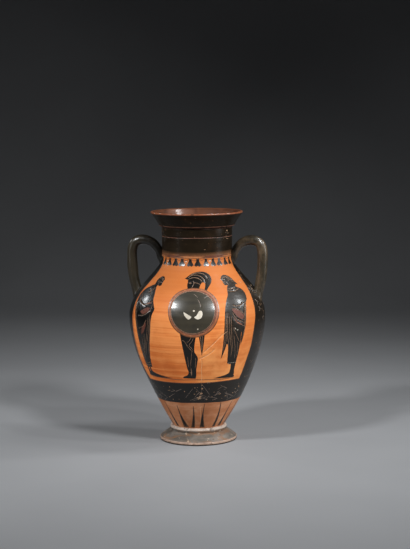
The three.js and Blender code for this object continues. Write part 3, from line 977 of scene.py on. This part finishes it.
def mouth_and_inside_mesh():
    strips = Strips((float(WALL[-1, 0]), float(WALL[-1, 1])))
    base = MOUTH_BASE_RADIUS
    strips.add([(base - 1.6, MOUTH_BASE_Z)], "black_gloss")
    side_start = (base, MOUTH_BASE_Z + 1.3)
    strips.add(bend(strips.rows[-1], (base, MOUTH_BASE_Z), side_start, 4), "turned_line")
    side_end = (LIP_RADIUS - 0.65, LIP_Z - 1.8)
    flare = (mix(base, LIP_RADIUS, 0.25), mix(MOUTH_BASE_Z, LIP_Z, 0.4))
    strips.add(bend(side_start, flare, side_end, 11), "black_gloss")
    strips.add(bend(side_end, (LIP_RADIUS, LIP_Z), (LIP_RADIUS - 1.6, LIP_Z), 5), "lip_edge")
    inner_lip = LIP_RADIUS - MOUTH_WALL + 1.3
    strips.add([(inner_lip + 0.8, LIP_Z)], "lip_edge")
    inner_edge = ((inner_lip + 0.8, LIP_Z), (inner_lip, LIP_Z), (inner_lip - 1.3, LIP_Z - 1.9))
    strips.add(bend(*inner_edge, 3), "mouth_inside")
    throat = (NECK_RADIUS - NECK_WALL, MOUTH_BASE_Z - 3)
    strips.add(bend(strips.rows[-1], (41.9, MOUTH_BASE_Z + 2), throat, 9), "mouth_inside")
    neck_inner = NECK_RADIUS - NECK_WALL
    neck_heights = np.linspace(MOUTH_BASE_Z - 6, NECK_FOOT_Z + 6, 8)
    strips.add([(neck_inner, z) for z in neck_heights], "mouth_inside")
    wall = WALL[WALL[:, 1] < NECK_FOOT_Z + 4]
    along = WALL_ALONG[: len(wall)]
    share = np.clip((wall[:, 1] - BELLY_Z) / SHOULDER_HEIGHT, 0, 1)
    thick = mix(BODY_WALL, NECK_WALL, share)
    inner = np.column_stack([wall[:, 0] - thick * along[:, 1], wall[:, 1] + thick * along[:, 0]])
    inner = inner[inner[:, 1] > FLOOR_Z + 9][::-1]
    picked = inner[np.linspace(0, len(inner) - 1, 46).astype(int)]
    ridged = [(r + 0.35 * math.sin(z * 0.9), z) for r, z in picked]
    strips.add(ridged, "bare_clay")
    floor = bend(ridged[-1], (ridged[-1][0] * 0.8, FLOOR_Z), (0.0, FLOOR_Z), 8)
    strips.add(floor, "bare_clay")
    return turned(strips.rows, strips.paints)


# Handles


def handle_line():
    """The middle line of the right handle, millimetres outward and up."""
    reach = HANDLE_REACH - HANDLE_THICKNESS / 2
    low = SHOULDER[int((1 - SHOULDER_ROOT_PLACE) * (len(SHOULDER) - 1))]
    neck_side = [(0.03, 0), (0.1, 0.35), (0.26, 0.73), (0.44, 0.93), (0.66, 1)]
    low_side = [(0.88, 0.16), (1, 0.32), (0.93, 0.54), (0.62, 0.77), (0, 1)]
    line = [(mix(NECK_RADIUS, reach, a), mix(HANDLE_ROOT_Z, HANDLE_TOP_Z, b)) for a, b in neck_side]
    corner = (mix(NECK_RADIUS, reach, 0.88), mix(HANDLE_TOP_Z, low[1], 0.045))
    below = [(mix(low[0], reach, a), mix(HANDLE_TOP_Z, low[1], b)) for a, b in low_side]
    start = (line[0][0] - 6.5, line[0][1] - 9)
    end = (low[0] - 4.5, low[1] - 12)
    return smooth([start] + line + [corner] + below + [end], spacing=0.5)


def kept_in_wall(place):
    """Holds a handle's hidden end inside the clay, so that it doesn't reach the hollow."""
    across = math.hypot(place.x, place.y)
    arc = arc_at(min(place.z, MOUTH_BASE_Z))
    steep = float(np.interp(arc, WALL_ARC, WALL_ALONG[:, 1]))
    least = float(radius_at(arc)) - HANDLE_END_COVER / max(steep, 0.4)
    if across < least:
        return Vector((place.x * least / across, place.y * least / across, place.z))
    return place


def handle_object(name, turn):
    """One handle as a closed bar, spread where it was pressed on to neck and shoulder."""
    line = handle_line()
    arc = np.concatenate([[0], np.cumsum(np.hypot(*np.diff(line, axis=0).T))])
    length = arc[-1]
    at = np.linspace(0, length, HANDLE_STEPS + 1)
    x = np.interp(at, arc, line[:, 0])
    z = np.interp(at, arc, line[:, 1])
    tx, tz = np.gradient(x), np.gradient(z)
    norm = np.hypot(tx, tz)
    tx, tz = tx / norm, tz / norm
    verts, faces = [], []
    for i, along in enumerate(at):
        neck = max(0.0, 1 - along / HANDLE_FLARE_LENGTH) ** 2
        low = max(0.0, 1 - (length - along) / HANDLE_FLARE_LENGTH) ** 2
        half = HANDLE_THICKNESS / 2 + 0.12 * math.sin(along * 0.21 + turn)
        bar = mix(HANDLE_NECK_THICKNESS / 2, half, min(1.0, along / HANDLE_TAPER_LENGTH))
        high = max(
            mix(bar, NECK_ROOT_HALF_HEIGHT, neck), mix(bar, SHOULDER_ROOT_HALF_HEIGHT, low)
        )
        wide = max(
            mix(half, NECK_ROOT_HALF_WIDTH, neck), mix(half, SHOULDER_ROOT_HALF_WIDTH, low)
        )
        for j in range(HANDLE_SIDES):
            angle = 2 * math.pi * j / HANDLE_SIDES
            a = high * math.cos(angle)
            b = wide * math.sin(angle)
            lump = 0.22 * noise.noise(Vector((x[i] * 0.06 + turn * 9, b * 0.12, z[i] * 0.06)))
            a, b = a * (1 + lump / 4), b * (1 + lump / 4)
            place = Vector((x[i] + tz[i] * a, b, z[i] - tx[i] * a))
            verts.append(kept_in_wall(place) * METRES)
    for i in range(HANDLE_STEPS):
        for j in range(HANDLE_SIDES):
            k = (j + 1) % HANDLE_SIDES
            a, b = i * HANDLE_SIDES, (i + 1) * HANDLE_SIDES
            faces.append((a + j, b + j, b + k, a + k))
    faces.append(tuple(range(HANDLE_SIDES)))
    last = HANDLE_STEPS * HANDLE_SIDES
    faces.append(tuple(last + j for j in reversed(range(HANDLE_SIDES))))
    mesh = bpy.data.meshes.new(name)
    mesh.from_pydata(verts, [], faces)
    mesh.transform(Matrix.Rotation(turn, 4, "Z"))
    bm = bmesh.new()
    bm.from_mesh(mesh)
    bmesh.ops.recalc_face_normals(bm, faces=bm.faces)
    bm.to_mesh(mesh)
    bm.free()
    mesh.polygons.foreach_set("material_index", [PAINT["handle_gloss"]] * len(mesh.polygons))
    return bpy.data.objects.new(name, mesh)


# Materials


class Finish:
    """A material whose colour, roughness and bump come from the place on the object."""

    def __init__(self, name):
        self.material = bpy.data.materials.new(name)
        self.material.use_nodes = True
        self.nodes = self.material.node_tree.nodes
        self.links = self.material.node_tree.links
        self.shader = self.nodes["Principled BSDF"]
        self.place = self.nodes.new("ShaderNodeTexCoord").outputs["Object"]

    def new(self, kind, **values):
        node = self.nodes.new(kind)
        for key, value in values.items():
            setattr(node, key, value)
        return node

    def put(self, socket, value):
        if isinstance(value, bpy.types.NodeSocket):
            self.links.new(value, socket)
        else:
            socket.default_value = value

    def noise(self, scale, detail=4.0, rough=0.55, twist=0.0, shift=(0, 0, 0)):
        """Noise whose grain is scale per metre along X, Y and Z."""
        mapping = self.new("ShaderNodeMapping")
        mapping.inputs["Scale"].default_value = scale
        mapping.inputs["Location"].default_value = shift
        self.links.new(self.place, mapping.inputs["Vector"])
        grain = self.new("ShaderNodeTexNoise")
        grain.inputs["Scale"].default_value = 1.0
        grain.inputs["Detail"].default_value = detail
        grain.inputs["Roughness"].default_value = rough
        grain.inputs["Distortion"].default_value = twist
        self.links.new(mapping.outputs["Vector"], grain.inputs["Vector"])
        return grain.outputs["Fac"]

    def ramp(self, fac, stops):
        node = self.new("ShaderNodeValToRGB")
        elements = node.color_ramp.elements
        while len(elements) < len(stops):
            elements.new(0.5)
        for element, (at, colour) in zip(elements, stops):
            element.position = at
            element.color = (*colour, 1)
        self.links.new(fac, node.inputs["Fac"])
        return node.outputs["Color"]

    def span(self, value, low, high, to_low=0.0, to_high=1.0):
        node = self.new("ShaderNodeMapRange")
        for key, number in zip(
            ("From Min", "From Max", "To Min", "To Max"), (low, high, to_low, to_high)
        ):
            node.inputs[key].default_value = number
        self.links.new(value, node.inputs["Value"])
        return node.outputs["Result"]

    def blend(self, fac, a, b, kind="MIX"):
        node = self.new("ShaderNodeMix", data_type="RGBA", blend_type=kind)
        colour_in = [s for s in node.inputs if s.type == "RGBA"]
        self.put(node.inputs[0], fac)
        self.put(colour_in[0], (*a, 1) if isinstance(a, tuple) else a)
        self.put(colour_in[1], (*b, 1) if isinstance(b, tuple) else b)
        return next(s for s in node.outputs if s.type == "RGBA")

    def math(self, kind, a, b):
        node = self.new("ShaderNodeMath", operation=kind)
        self.put(node.inputs[0], a)
        self.put(node.inputs[1], b)
        return node.outputs[0]

    def along(self, axis):
        node = self.new("ShaderNodeSeparateXYZ")
        self.links.new(self.place, node.inputs[0])
        return node.outputs[axis]

    def height(self):
        return self.along("Z")

    def across(self):
        return self.along("X")

    def bump(self, height, distance, strength=1.0):
        node = self.new("ShaderNodeBump")
        node.inputs["Strength"].default_value = strength
        node.inputs["Distance"].default_value = distance
        self.links.new(height, node.inputs["Height"])
        self.links.new(node.outputs["Normal"], self.shader.inputs["Normal"])
        self.links.new(node.outputs["Normal"], self.shader.inputs["Coat Normal"])

    def finish(self, colour, roughness, shine=0.5, coat=0.0):
        self.put(self.shader.inputs["Base Color"], colour)
        self.put(self.shader.inputs["Roughness"], roughness)
        self.shader.inputs["Specular IOR Level"].default_value = shine
        self.shader.inputs["Coat Weight"].default_value = coat
        self.shader.inputs["Coat Roughness"].default_value = COAT_ROUGHNESS
        return self.material


WHEEL_LINES = (7, 7, 330)
BRUSH_LINES = (14, 14, 240)
COAT_ROUGHNESS = 0.18
GLOSS_SHINE = 0.3
NECK_SHINE = 0.06
NECK_COAT = 0.08

# Colours of the slip where it is worn or thin, of the painted shade on the neck and of the painted
# highlight on the right handle
CLAY_SPECK = (0.30, 0.15, 0.075)
BAND_BROWN = (0.040, 0.020, 0.0095)
RIGHT_WALL_BROWN = (0.062, 0.036, 0.018)
FADE_CLAY = (0.40, 0.155, 0.062)
FADE_BROWN = (0.10, 0.046, 0.022)
# The neck's black, painted darker still as shade on its left and middle
NECK_SHADED_BLACK = (0.0012, 0.0010, 0.0008)
NECK_SHADED_MOTTLE = (0.0050, 0.0038, 0.0026)
# Pale patches that stand for a painted highlight on the right handle
HANDLE_HIGHLIGHT_PATCH = (0.085, 0.058, 0.034)


def neck_and_band(f, slip, colour, mottle, streak, thin):
    """Browner low on the body and at the right, fading at the neck's foot, black above it, with
    painted shade darkening the neck's left.
    """
    low_band = f.span(f.height(), 0.085, 0.075)
    low_band = f.math("MULTIPLY", low_band, f.span(thin, 0.40, 0.58))
    colour = f.blend(low_band, colour, BAND_BROWN)
    right = f.span(f.across(), 0.052, 0.076, 0.0, 0.8)
    rubbed = f.math("MULTIPLY", right, f.span(f.noise((70, 70, 50), 4, 0.7), 0.44, 0.6))
    colour = f.blend(rubbed, colour, RIGHT_WALL_BROWN)
    low, middle, high = ((NECK_FOOT_Z + rise) * METRES for rise in (2.2, 4.6, 8.0))
    wavering = f.math("ADD", f.height(), f.span(streak, 0.3, 0.7, -0.001, 0.001))
    brown = f.blend(f.span(wavering, low, middle), FADE_CLAY, FADE_BROWN)
    colour = f.blend(f.span(wavering, middle, high), brown, colour)
    above = f.math("GREATER_THAN", f.height(), NECK_FOOT_Z * METRES)
    # Painted shade: the neck's left and middle get a darker black, while its right keeps the slip's
    # colour
    deep = f.ramp(mottle, [(0.3, NECK_SHADED_BLACK), (0.72, NECK_SHADED_MOTTLE)])
    plain = f.blend(f.span(f.across(), 0.004, 0.034), deep, slip)
    return f.blend(above, plain, colour)


def handle_shade_and_sheen(f, colour, thin, dark, light):
    """Painted shade on the left and towards the neck, painted sheen on the outer bars, painted
    highlight patches on the right.
    """
    from_axis = f.math("ABSOLUTE", f.across(), 0.0)
    # Painted shade: the left handle is darker
    colour = f.blend(f.span(f.across(), -0.06, 0.075, 0.4, 0.0), colour, dark)
    # Painted sheen: the outer bars are lighter, mottled by the thin slip
    outer = f.span(from_axis, 0.062, 0.073)
    outer = f.math("MULTIPLY", outer, f.span(thin, 0.3, 0.6, 0.2, 0.7))
    colour = f.blend(outer, colour, light)
    # Painted shade: darker towards the neck, between handle and neck
    colour = f.blend(f.span(from_axis, 0.058, 0.068, 0.75, 0.0), colour, dark)
    # Painted highlight: pale patches on the right handle
    rubbed = f.span(f.noise((90, 90, 60), 4, 0.7, 0.0, (2, 2, 9)), 0.42, 0.62)
    rubbed = f.math("MULTIPLY", rubbed, f.span(f.across(), 0.0, 0.07))
    return f.blend(rubbed, colour, HANDLE_HIGHLIGHT_PATCH)


def gloss(name, dark, light, worn, wear_from, fade_at_neck=False, lumps=0.0, coat=0.28):
    """Black slip, fired glossy, thin and brown in places, worn to the clay in small specks."""
    f = Finish(name)
    mottle = f.noise((22, 22, 30), 5, 0.6, 0.6)
    streak = f.noise(BRUSH_LINES, 3, 0.5)
    thin = f.noise((11, 11, 16), 4, 0.6, 0.9, (3, 1, 7))
    specks = f.noise((520, 520, 520), 2, 0.5, 0.0, (5, 5, 5))
    slip = f.ramp(mottle, [(0.3, dark), (0.72, light)])
    colour = f.blend(f.span(streak, 0.45, 0.75, 0.0, 0.35), slip, light)
    colour = f.blend(f.span(thin, 0.58, 0.78, 0.0, 0.75), colour, worn)
    patchy = f.span(specks, wear_from, wear_from + 0.03)
    patchy = f.math("MULTIPLY", patchy, f.span(mottle, 0.4, 0.6))
    colour = f.blend(patchy, colour, CLAY_SPECK)
    # Besides the fade at the neck's foot, the neck gets painted shade on its left
    if fade_at_neck:
        colour = neck_and_band(f, slip, colour, mottle, streak, thin)
    rough = f.span(mottle, 0.25, 0.75, 0.28, 0.38)
    rough = f.math("ADD", rough, f.span(streak, 0.4, 0.8, 0, 0.06))
    rough = f.math("ADD", rough, f.math("MULTIPLY", patchy, 0.3))
    fine = f.noise((900, 900, 900), 3, 0.6)
    wheel = f.noise(WHEEL_LINES, 2, 0.5)
    height = f.math("ADD", f.math("MULTIPLY", fine, 0.12), wheel)
    height = f.math("ADD", height, f.math("MULTIPLY", streak, 0.5))
    height = f.math("SUBTRACT", height, f.math("MULTIPLY", patchy, 0.8))
    # Handles get painted shade, sheen and highlight in their colour, and lumps in their bump
    if lumps:
        colour = handle_shade_and_sheen(f, colour, thin, dark, light)
        dabs = f.noise((300, 300, 220), 3, 0.6, 0.0, (1, 6, 2))
        height = f.math("ADD", height, f.math("MULTIPLY", dabs, lumps))
    f.bump(height, 0.00012, 0.6)
    made = f.finish(colour, rough, GLOSS_SHINE, coat)
    if fade_at_neck:
        ends = (NECK_FOOT_Z * METRES, (NECK_FOOT_Z + 6) * METRES)
        shine = f.span(f.height(), *ends, GLOSS_SHINE, NECK_SHINE)
        f.put(f.shader.inputs["Specular IOR Level"], shine)
        f.put(f.shader.inputs["Coat Weight"], f.span(f.height(), *ends, coat, NECK_COAT))
    return made


def clay(name, deep, mid, pale, rough_low, rough_high, shine=0.3, coat=0.0, shade_up=0.0,
         streaks=1.0):
    """Burnished orange clay with wheel and brush lines, mottled by the kiln, and optionally painted
    darker at the top and the right edge as shade.
    """
    f = Finish(name)
    large = f.noise((14, 14, 13), 4, 0.6, 0.5)
    cloud = f.noise((52, 52, 60), 5, 0.6, 0.3, (2, 9, 4))
    wheel = f.noise(WHEEL_LINES, 4, 0.6)
    streak = f.noise((20, 20, 210), 4, 0.65, 0.3, (7, 2, 1))
    grain = f.noise((1300, 1300, 1300), 2, 0.5)
    colour = f.ramp(large, [(0.3, deep), (0.5, mid), (0.7, pale)])
    colour = f.blend(f.span(cloud, 0.5, 0.7, 0, 0.5), colour, pale)
    colour = f.blend(f.span(cloud, 0.3, 0.46, 0.45, 0), colour, deep)
    colour = f.blend(f.span(wheel, 0.5, 0.66, 0, 0.6 * streaks), colour, pale)
    colour = f.blend(f.span(wheel, 0.34, 0.5, 0.6 * streaks, 0), colour, deep)
    colour = f.blend(f.span(streak, 0.54, 0.68, 0, 0.5 * streaks), colour, deep)
    colour = f.blend(f.span(grain, 0.62, 0.75, 0, 0.3), colour, deep)
    if shade_up:
        low_right = f.math(
            "MULTIPLY", f.span(f.across(), 0.002, 0.022), f.span(f.height(), 0.108, 0.150, 1, 0)
        )
        low_right = f.math("MULTIPLY", low_right, f.span(cloud, 0.36, 0.6, 0.3, 0.95))
        colour = f.blend(low_right, colour, (0.88, 0.34, 0.105))
        # Painted shade: darker towards the right edge
        colour = f.blend(f.span(f.across(), 0.046, 0.072, 0.0, 0.55), colour, (0.40, 0.115, 0.023))
        # Painted shade: darker and redder towards the top
        up = f.span(f.height(), 0.140, 0.195, 0.0, shade_up)
        colour = f.blend(up, colour, (0.37, 0.106, 0.022))
    rough = f.span(cloud, 0.3, 0.7, rough_low, rough_high)
    height = f.math("ADD", f.math("MULTIPLY", grain, 0.2), wheel)
    height = f.math("ADD", height, f.math("MULTIPLY", streak, 0.6))
    f.bump(height, 0.00012, 0.6)
    return f.finish(colour, rough, shine, coat)


def matt(name, low, high, show, show_from, rough, shine=0.3):
    """A matt added colour or bare surface, rubbed through in places to what lies under it."""
    f = Finish(name)
    cloud = f.noise((150, 150, 150), 4, 0.6)
    grain = f.noise((1100, 1100, 1100), 3, 0.6)
    colour = f.ramp(cloud, [(0.3, low), (0.7, high)])
    colour = f.blend(f.span(cloud, show_from, show_from + 0.1, 0, 0.9), colour, show)
    colour = f.blend(f.span(grain, 0.55, 0.7, 0, 0.35), colour, low)
    f.bump(grain, 0.0001, 0.7)
    return f.finish(colour, f.span(grain, 0.3, 0.7, rough - 0.08, rough + 0.08), shine)


def foot_top():
    """The foot's slope: grey-brown gloss worn thin over the clay, with rubbed patches."""
    f = Finish("worn_foot")
    large = f.noise((45, 45, 60), 5, 0.65, 0.8)
    warm = f.noise((38, 38, 110), 5, 0.65, 0.8, (8, 3, 2))
    streak = f.noise((26, 26, 420), 3, 0.6)
    grain = f.noise((900, 900, 900), 3, 0.6)
    chips = f.noise((190, 190, 260), 3, 0.6, 0.0, (4, 4, 1))
    colour = f.ramp(large, [(0.3, (0.050, 0.041, 0.033)), (0.5, (0.095, 0.082, 0.069)),
                            (0.68, (0.15, 0.127, 0.108))])
    colour = f.blend(f.span(warm, 0.46, 0.57, 0, 0.9), colour, (0.17, 0.085, 0.043))
    colour = f.blend(f.span(streak, 0.5, 0.75, 0, 0.4), colour, (0.20, 0.145, 0.11))
    colour = f.blend(f.span(grain, 0.6, 0.75, 0, 0.4), colour, (0.05, 0.036, 0.026))
    colour = f.blend(f.span(chips, 0.64, 0.68, 0, 0.85), colour, (0.40, 0.30, 0.22))
    colour = f.blend(f.span(chips, 0.32, 0.36, 0.75, 0), colour, (0.045, 0.03, 0.022))
    height = f.math("ADD", f.math("MULTIPLY", grain, 0.6), streak)
    f.bump(height, 0.00018, 0.8)
    return f.finish(colour, f.span(large, 0.3, 0.7, 0.36, 0.52), 0.45)


def mouth_inside():
    """The inside of mouth and neck: dark gloss that fades to bare clay lower down."""
    f = Finish("mouth_inside")
    cloud = f.noise((40, 40, 60), 5, 0.6, 0.6)
    wheel = f.noise(WHEEL_LINES, 3, 0.5)
    colour = f.ramp(cloud, [(0.3, (0.036, 0.011, 0.0045)), (0.7, (0.105, 0.033, 0.012))])
    colour = f.blend(f.span(wheel, 0.5, 0.75, 0, 0.4), colour, (0.15, 0.052, 0.020))
    low, high = (NECK_FOOT_Z + 4) * METRES, (MOUTH_BASE_Z - 8) * METRES
    fade = f.math("ADD", f.height(), f.span(cloud, 0.3, 0.7, -0.005, 0.005))
    colour = f.blend(f.span(fade, low, high, 0.0, 1.0), (0.42, 0.18, 0.08), colour)
    f.bump(wheel, 0.0002, 0.8)
    return f.finish(colour, f.span(cloud, 0.3, 0.7, 0.42, 0.54), 0.25, 0.5)


def make_materials():
    black = (0.0062, 0.0042, 0.0026)
    made = [
        gloss("black_gloss", black, (0.0165, 0.0106, 0.0056), (0.060, 0.026, 0.010), 0.71, True),
        gloss("shield_black", (0.021, 0.019, 0.016), (0.050, 0.041, 0.026),
              (0.12, 0.06, 0.022), 0.74),
        clay("reserved_clay", (0.57, 0.130, 0.026), (0.77, 0.216, 0.048), (0.88, 0.31, 0.090),
             0.48, 0.62, 0.14, 0.02, 0.9),
        clay("pale_clay", (0.36, 0.115, 0.036), (0.52, 0.20, 0.085), (0.72, 0.40, 0.23),
             0.5, 0.62, streaks=0.25),
        matt("thin_gloss", (0.075, 0.028, 0.012), (0.17, 0.06, 0.022), (0.36, 0.13, 0.04),
             0.62, 0.36, 0.5),
        matt("added_red", (0.085, 0.024, 0.014), (0.155, 0.050, 0.031), (0.018, 0.011, 0.008),
             0.56, 0.5),
        matt("shield_rim", (0.22, 0.070, 0.028), (0.33, 0.115, 0.052), (0.46, 0.19, 0.09),
             0.6, 0.45),
        matt("added_white", (0.44, 0.38, 0.30), (0.60, 0.54, 0.45), (0.36, 0.24, 0.15),
             0.72, 0.6),
        matt("incised_line", (0.26, 0.14, 0.075), (0.44, 0.27, 0.17), (0.14, 0.07, 0.035),
             0.58, 0.6),
        matt("turned_line", (0.085, 0.032, 0.019), (0.17, 0.07, 0.042), (0.02, 0.011, 0.007),
             0.50, 0.5),
        matt("pale_crack", (0.70, 0.34, 0.15), (0.88, 0.54, 0.30), (0.66, 0.26, 0.09),
             0.64, 0.6),
        matt("scratch", (0.20, 0.14, 0.11), (0.36, 0.27, 0.22), (0.10, 0.062, 0.045),
             0.62, 0.6),
        matt("ray_brown", (0.035, 0.017, 0.009), (0.085, 0.036, 0.017), (0.30, 0.12, 0.05),
             0.62, 0.4, 0.5),
        matt("clay_chip", (0.36, 0.21, 0.12), (0.48, 0.30, 0.18), (0.58, 0.44, 0.32),
             0.6, 0.7),
        foot_top(),
        matt("foot_edge", (0.20, 0.125, 0.088), (0.42, 0.29, 0.22), (0.09, 0.058, 0.04),
             0.62, 0.55),
        # Near black: painted shadow under the foot's edge
        matt("foot_under_edge_shadow", (0.02, 0.012, 0.008), (0.045, 0.026, 0.017), (0.11, 0.065, 0.042),
             0.66, 0.6),
        matt("fillet", (0.27, 0.20, 0.16), (0.58, 0.48, 0.41), (0.10, 0.06, 0.04),
             0.56, 0.55),
        matt("lip_edge", (0.12, 0.034, 0.015), (0.25, 0.080, 0.034), (0.05, 0.02, 0.01),
             0.60, 0.24, 0.7),
        mouth_inside(),
        clay("bare_clay", (0.34, 0.13, 0.05), (0.46, 0.19, 0.08), (0.56, 0.28, 0.14),
             0.6, 0.75),
        gloss("handle_gloss", (0.005, 0.0042, 0.0030), (0.034, 0.026, 0.015),
              (0.095, 0.060, 0.030), 0.66, lumps=4.0, coat=0.6),
    ]
    by_name = {m.name: m for m in made}
    return [by_name[name] for name in PAINTS]


# The whole piece


def joined_mesh(parts):
    """Foot, wall, mouth and inside as one closed mesh, painted face by face."""
    points, faces, paint = [], [], []
    for part_points, part_faces, part_paint in parts:
        first = sum(len(p) for p in points)
        points.append(part_points)
        faces.extend(tuple(first + i for i in face) for face in part_faces)
        paint.extend(part_paint)
    mesh = bpy.data.meshes.new("amphora_clay")
    mesh.from_pydata(np.vstack(points).tolist(), [], faces)
    mesh.polygons.foreach_set("material_index", paint)
    bm = bmesh.new()
    bm.from_mesh(mesh)
    bmesh.ops.remove_doubles(bm, verts=bm.verts, dist=3e-6)
    bmesh.ops.dissolve_degenerate(bm, edges=bm.edges, dist=1e-7)
    bm.to_mesh(mesh)
    bm.free()
    return mesh


def build_amphora():
    draw_all()
    mesh = joined_mesh([foot_mesh(), wall_mesh(), mouth_and_inside_mesh()])
    materials = make_materials()
    piece = bpy.data.objects.new("amphora_clay", mesh)
    bpy.context.scene.collection.objects.link(piece)
    handles = [handle_object("right_handle", 0.0), handle_object("left_handle", math.pi)]
    for o in [piece] + handles:
        for material in materials:
            o.data.materials.append(material)
    for o in handles:
        bpy.context.scene.collection.objects.link(o)
        join = piece.modifiers.new(o.name, "BOOLEAN")
        join.operation = "UNION"
        join.solver = "MANIFOLD"
        join.object = o
    graph = bpy.context.evaluated_depsgraph_get()
    whole = bpy.data.meshes.new_from_object(piece.evaluated_get(graph))
    piece.modifiers.clear()
    piece.data = whole
    whole.name = "amphora_clay"
    for o in handles:
        bpy.data.objects.remove(o)
    whole.polygons.foreach_set("use_smooth", [True] * len(whole.polygons))
    whole.set_sharp_from_angle(angle=math.radians(50))
    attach(piece, "root")
    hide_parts("amphora")
    return piece


# Camera, floor and lights

CAMERA_AZIMUTH = 9.0
CAMERA_DISTANCE = 1.85
CAMERA_HEIGHT = 0.42
CAMERA_PITCH = 6.71
CAMERA_PAN = 0.297
CAMERA_ROLL = 0.43
CAMERA_LENS = 100.3
SENSOR_WIDTH = 36.0

# Floor and back wall, metres
FLOOR_NEAR = -9.0
FLOOR_HALF_WIDTH = 8.0
CURVE_START = 1.1
CURVE_RADIUS = 0.7
BACK_HEIGHT = 3.0

LIGHT_AIM_HEIGHT = 0.16
LIGHT_SPREAD_DEG = 70
LIGHT_TINT = (0.95, 0.98, 1.0)
# Name, azimuth from the camera's, elevation, distance, width and height, watts
LIGHTS = (
    ("key_left", -50, 38.5, 1.5, (0.18, 0.13), 2.5),
    ("key_right", 38, 39, 1.5, (0.24, 0.20), 2.9),
    ("beside_right", 58, 42, 1.5, (0.10, 0.10), 0.6),
    ("side_left", -117, 24, 1.4, (0.12, 0.10), 0.34),
    ("side_right", 92, 32, 1.4, (0.15, 0.17), 0.8),
    ("low_left", -64, 8, 1.5, (0.10, 0.50), 0.22),
    ("low_right", 76, 8, 1.5, (0.45, 0.70), 0.75),
    ("top_right", 85, 61, 1.4, (0.22, 0.22), 0.8),
)


def around(azimuth, distance, height):
    """A place seen from the vase at an azimuth, 0 in front of the panel, towards +X positive."""
    a = math.radians(azimuth)
    return Vector((distance * math.sin(a), -distance * math.cos(a), height))


def add_camera():
    data = bpy.data.cameras.new("camera")
    data.lens = CAMERA_LENS
    data.sensor_width = SENSOR_WIDTH
    camera = bpy.data.objects.new("camera", data)
    bpy.context.scene.collection.objects.link(camera)
    turn = Matrix.Rotation(math.radians(CAMERA_AZIMUTH - CAMERA_PAN), 4, "Z")
    pitch = Matrix.Rotation(math.radians(90 - CAMERA_PITCH), 4, "X")
    roll = Matrix.Rotation(math.radians(-CAMERA_ROLL), 4, "Z")
    camera.matrix_world = (
        Matrix.Translation(around(CAMERA_AZIMUTH, CAMERA_DISTANCE, CAMERA_HEIGHT))
        @ turn @ pitch @ roll
    )
    bpy.context.scene.camera = camera


def add_floor():
    """A plain grey floor that curves up into a wall behind."""
    profile = [(FLOOR_NEAR, 0.0), (CURVE_START, 0.0)]
    for a in np.linspace(0.1, math.pi / 2, 16):
        rise = CURVE_RADIUS - CURVE_RADIUS * math.cos(a)
        profile.append((CURVE_START + CURVE_RADIUS * math.sin(a), rise))
    profile.append((CURVE_START + CURVE_RADIUS, BACK_HEIGHT))
    verts, faces = [], []
    turn = Matrix.Rotation(math.radians(CAMERA_AZIMUTH), 4, "Z")
    for y, z in profile:
        for x in (-FLOOR_HALF_WIDTH, FLOOR_HALF_WIDTH):
            verts.append(turn @ Vector((x, y, z)))
    for i in range(len(profile) - 1):
        faces.append((2 * i, 2 * i + 1, 2 * i + 3, 2 * i + 2))
    mesh = bpy.data.meshes.new("floor")
    mesh.from_pydata(verts, [], faces)
    mesh.polygons.foreach_set("use_smooth", [True] * len(mesh.polygons))
    f = Finish("pale_floor")
    cloud = f.noise((3, 3, 3), 3, 0.5)
    colour = f.ramp(cloud, [(0.3, (0.20, 0.20, 0.205)), (0.7, (0.225, 0.225, 0.23))])
    mesh.materials.append(f.finish(colour, 0.8))
    floor = bpy.data.objects.new("floor", mesh)
    bpy.context.scene.collection.objects.link(floor)


def add_light(name, azimuth, elevation, distance, size, watts):
    """A soft light aimed at the vase's middle."""
    data = bpy.data.lights.new(name, "AREA")
    data.shape = "RECTANGLE"
    data.size, data.size_y = size
    data.energy = watts
    data.color = LIGHT_TINT
    data.spread = math.radians(LIGHT_SPREAD_DEG)
    light = bpy.data.objects.new(name, data)
    e = math.radians(elevation)
    target = Vector((0, 0, LIGHT_AIM_HEIGHT))
    height = LIGHT_AIM_HEIGHT + distance * math.sin(e)
    place = around(CAMERA_AZIMUTH + azimuth, distance * math.cos(e), height)
    light.location = place
    light.rotation_euler = (target - place).to_track_quat("-Z", "Y").to_euler()
    bpy.context.scene.collection.objects.link(light)


def add_lights():
    for light in LIGHTS:
        add_light(*light)
    world = bpy.data.worlds.new("studio")
    world.use_nodes = True
    background = world.node_tree.nodes["Background"]
    background.inputs["Color"].default_value = (0.9, 0.92, 0.95, 1)
    background.inputs["Strength"].default_value = 0.04
    bpy.context.scene.world = world
    bpy.context.scene.view_settings.view_transform = "Standard"


build_amphora()
add_camera()
add_floor()
add_lights()
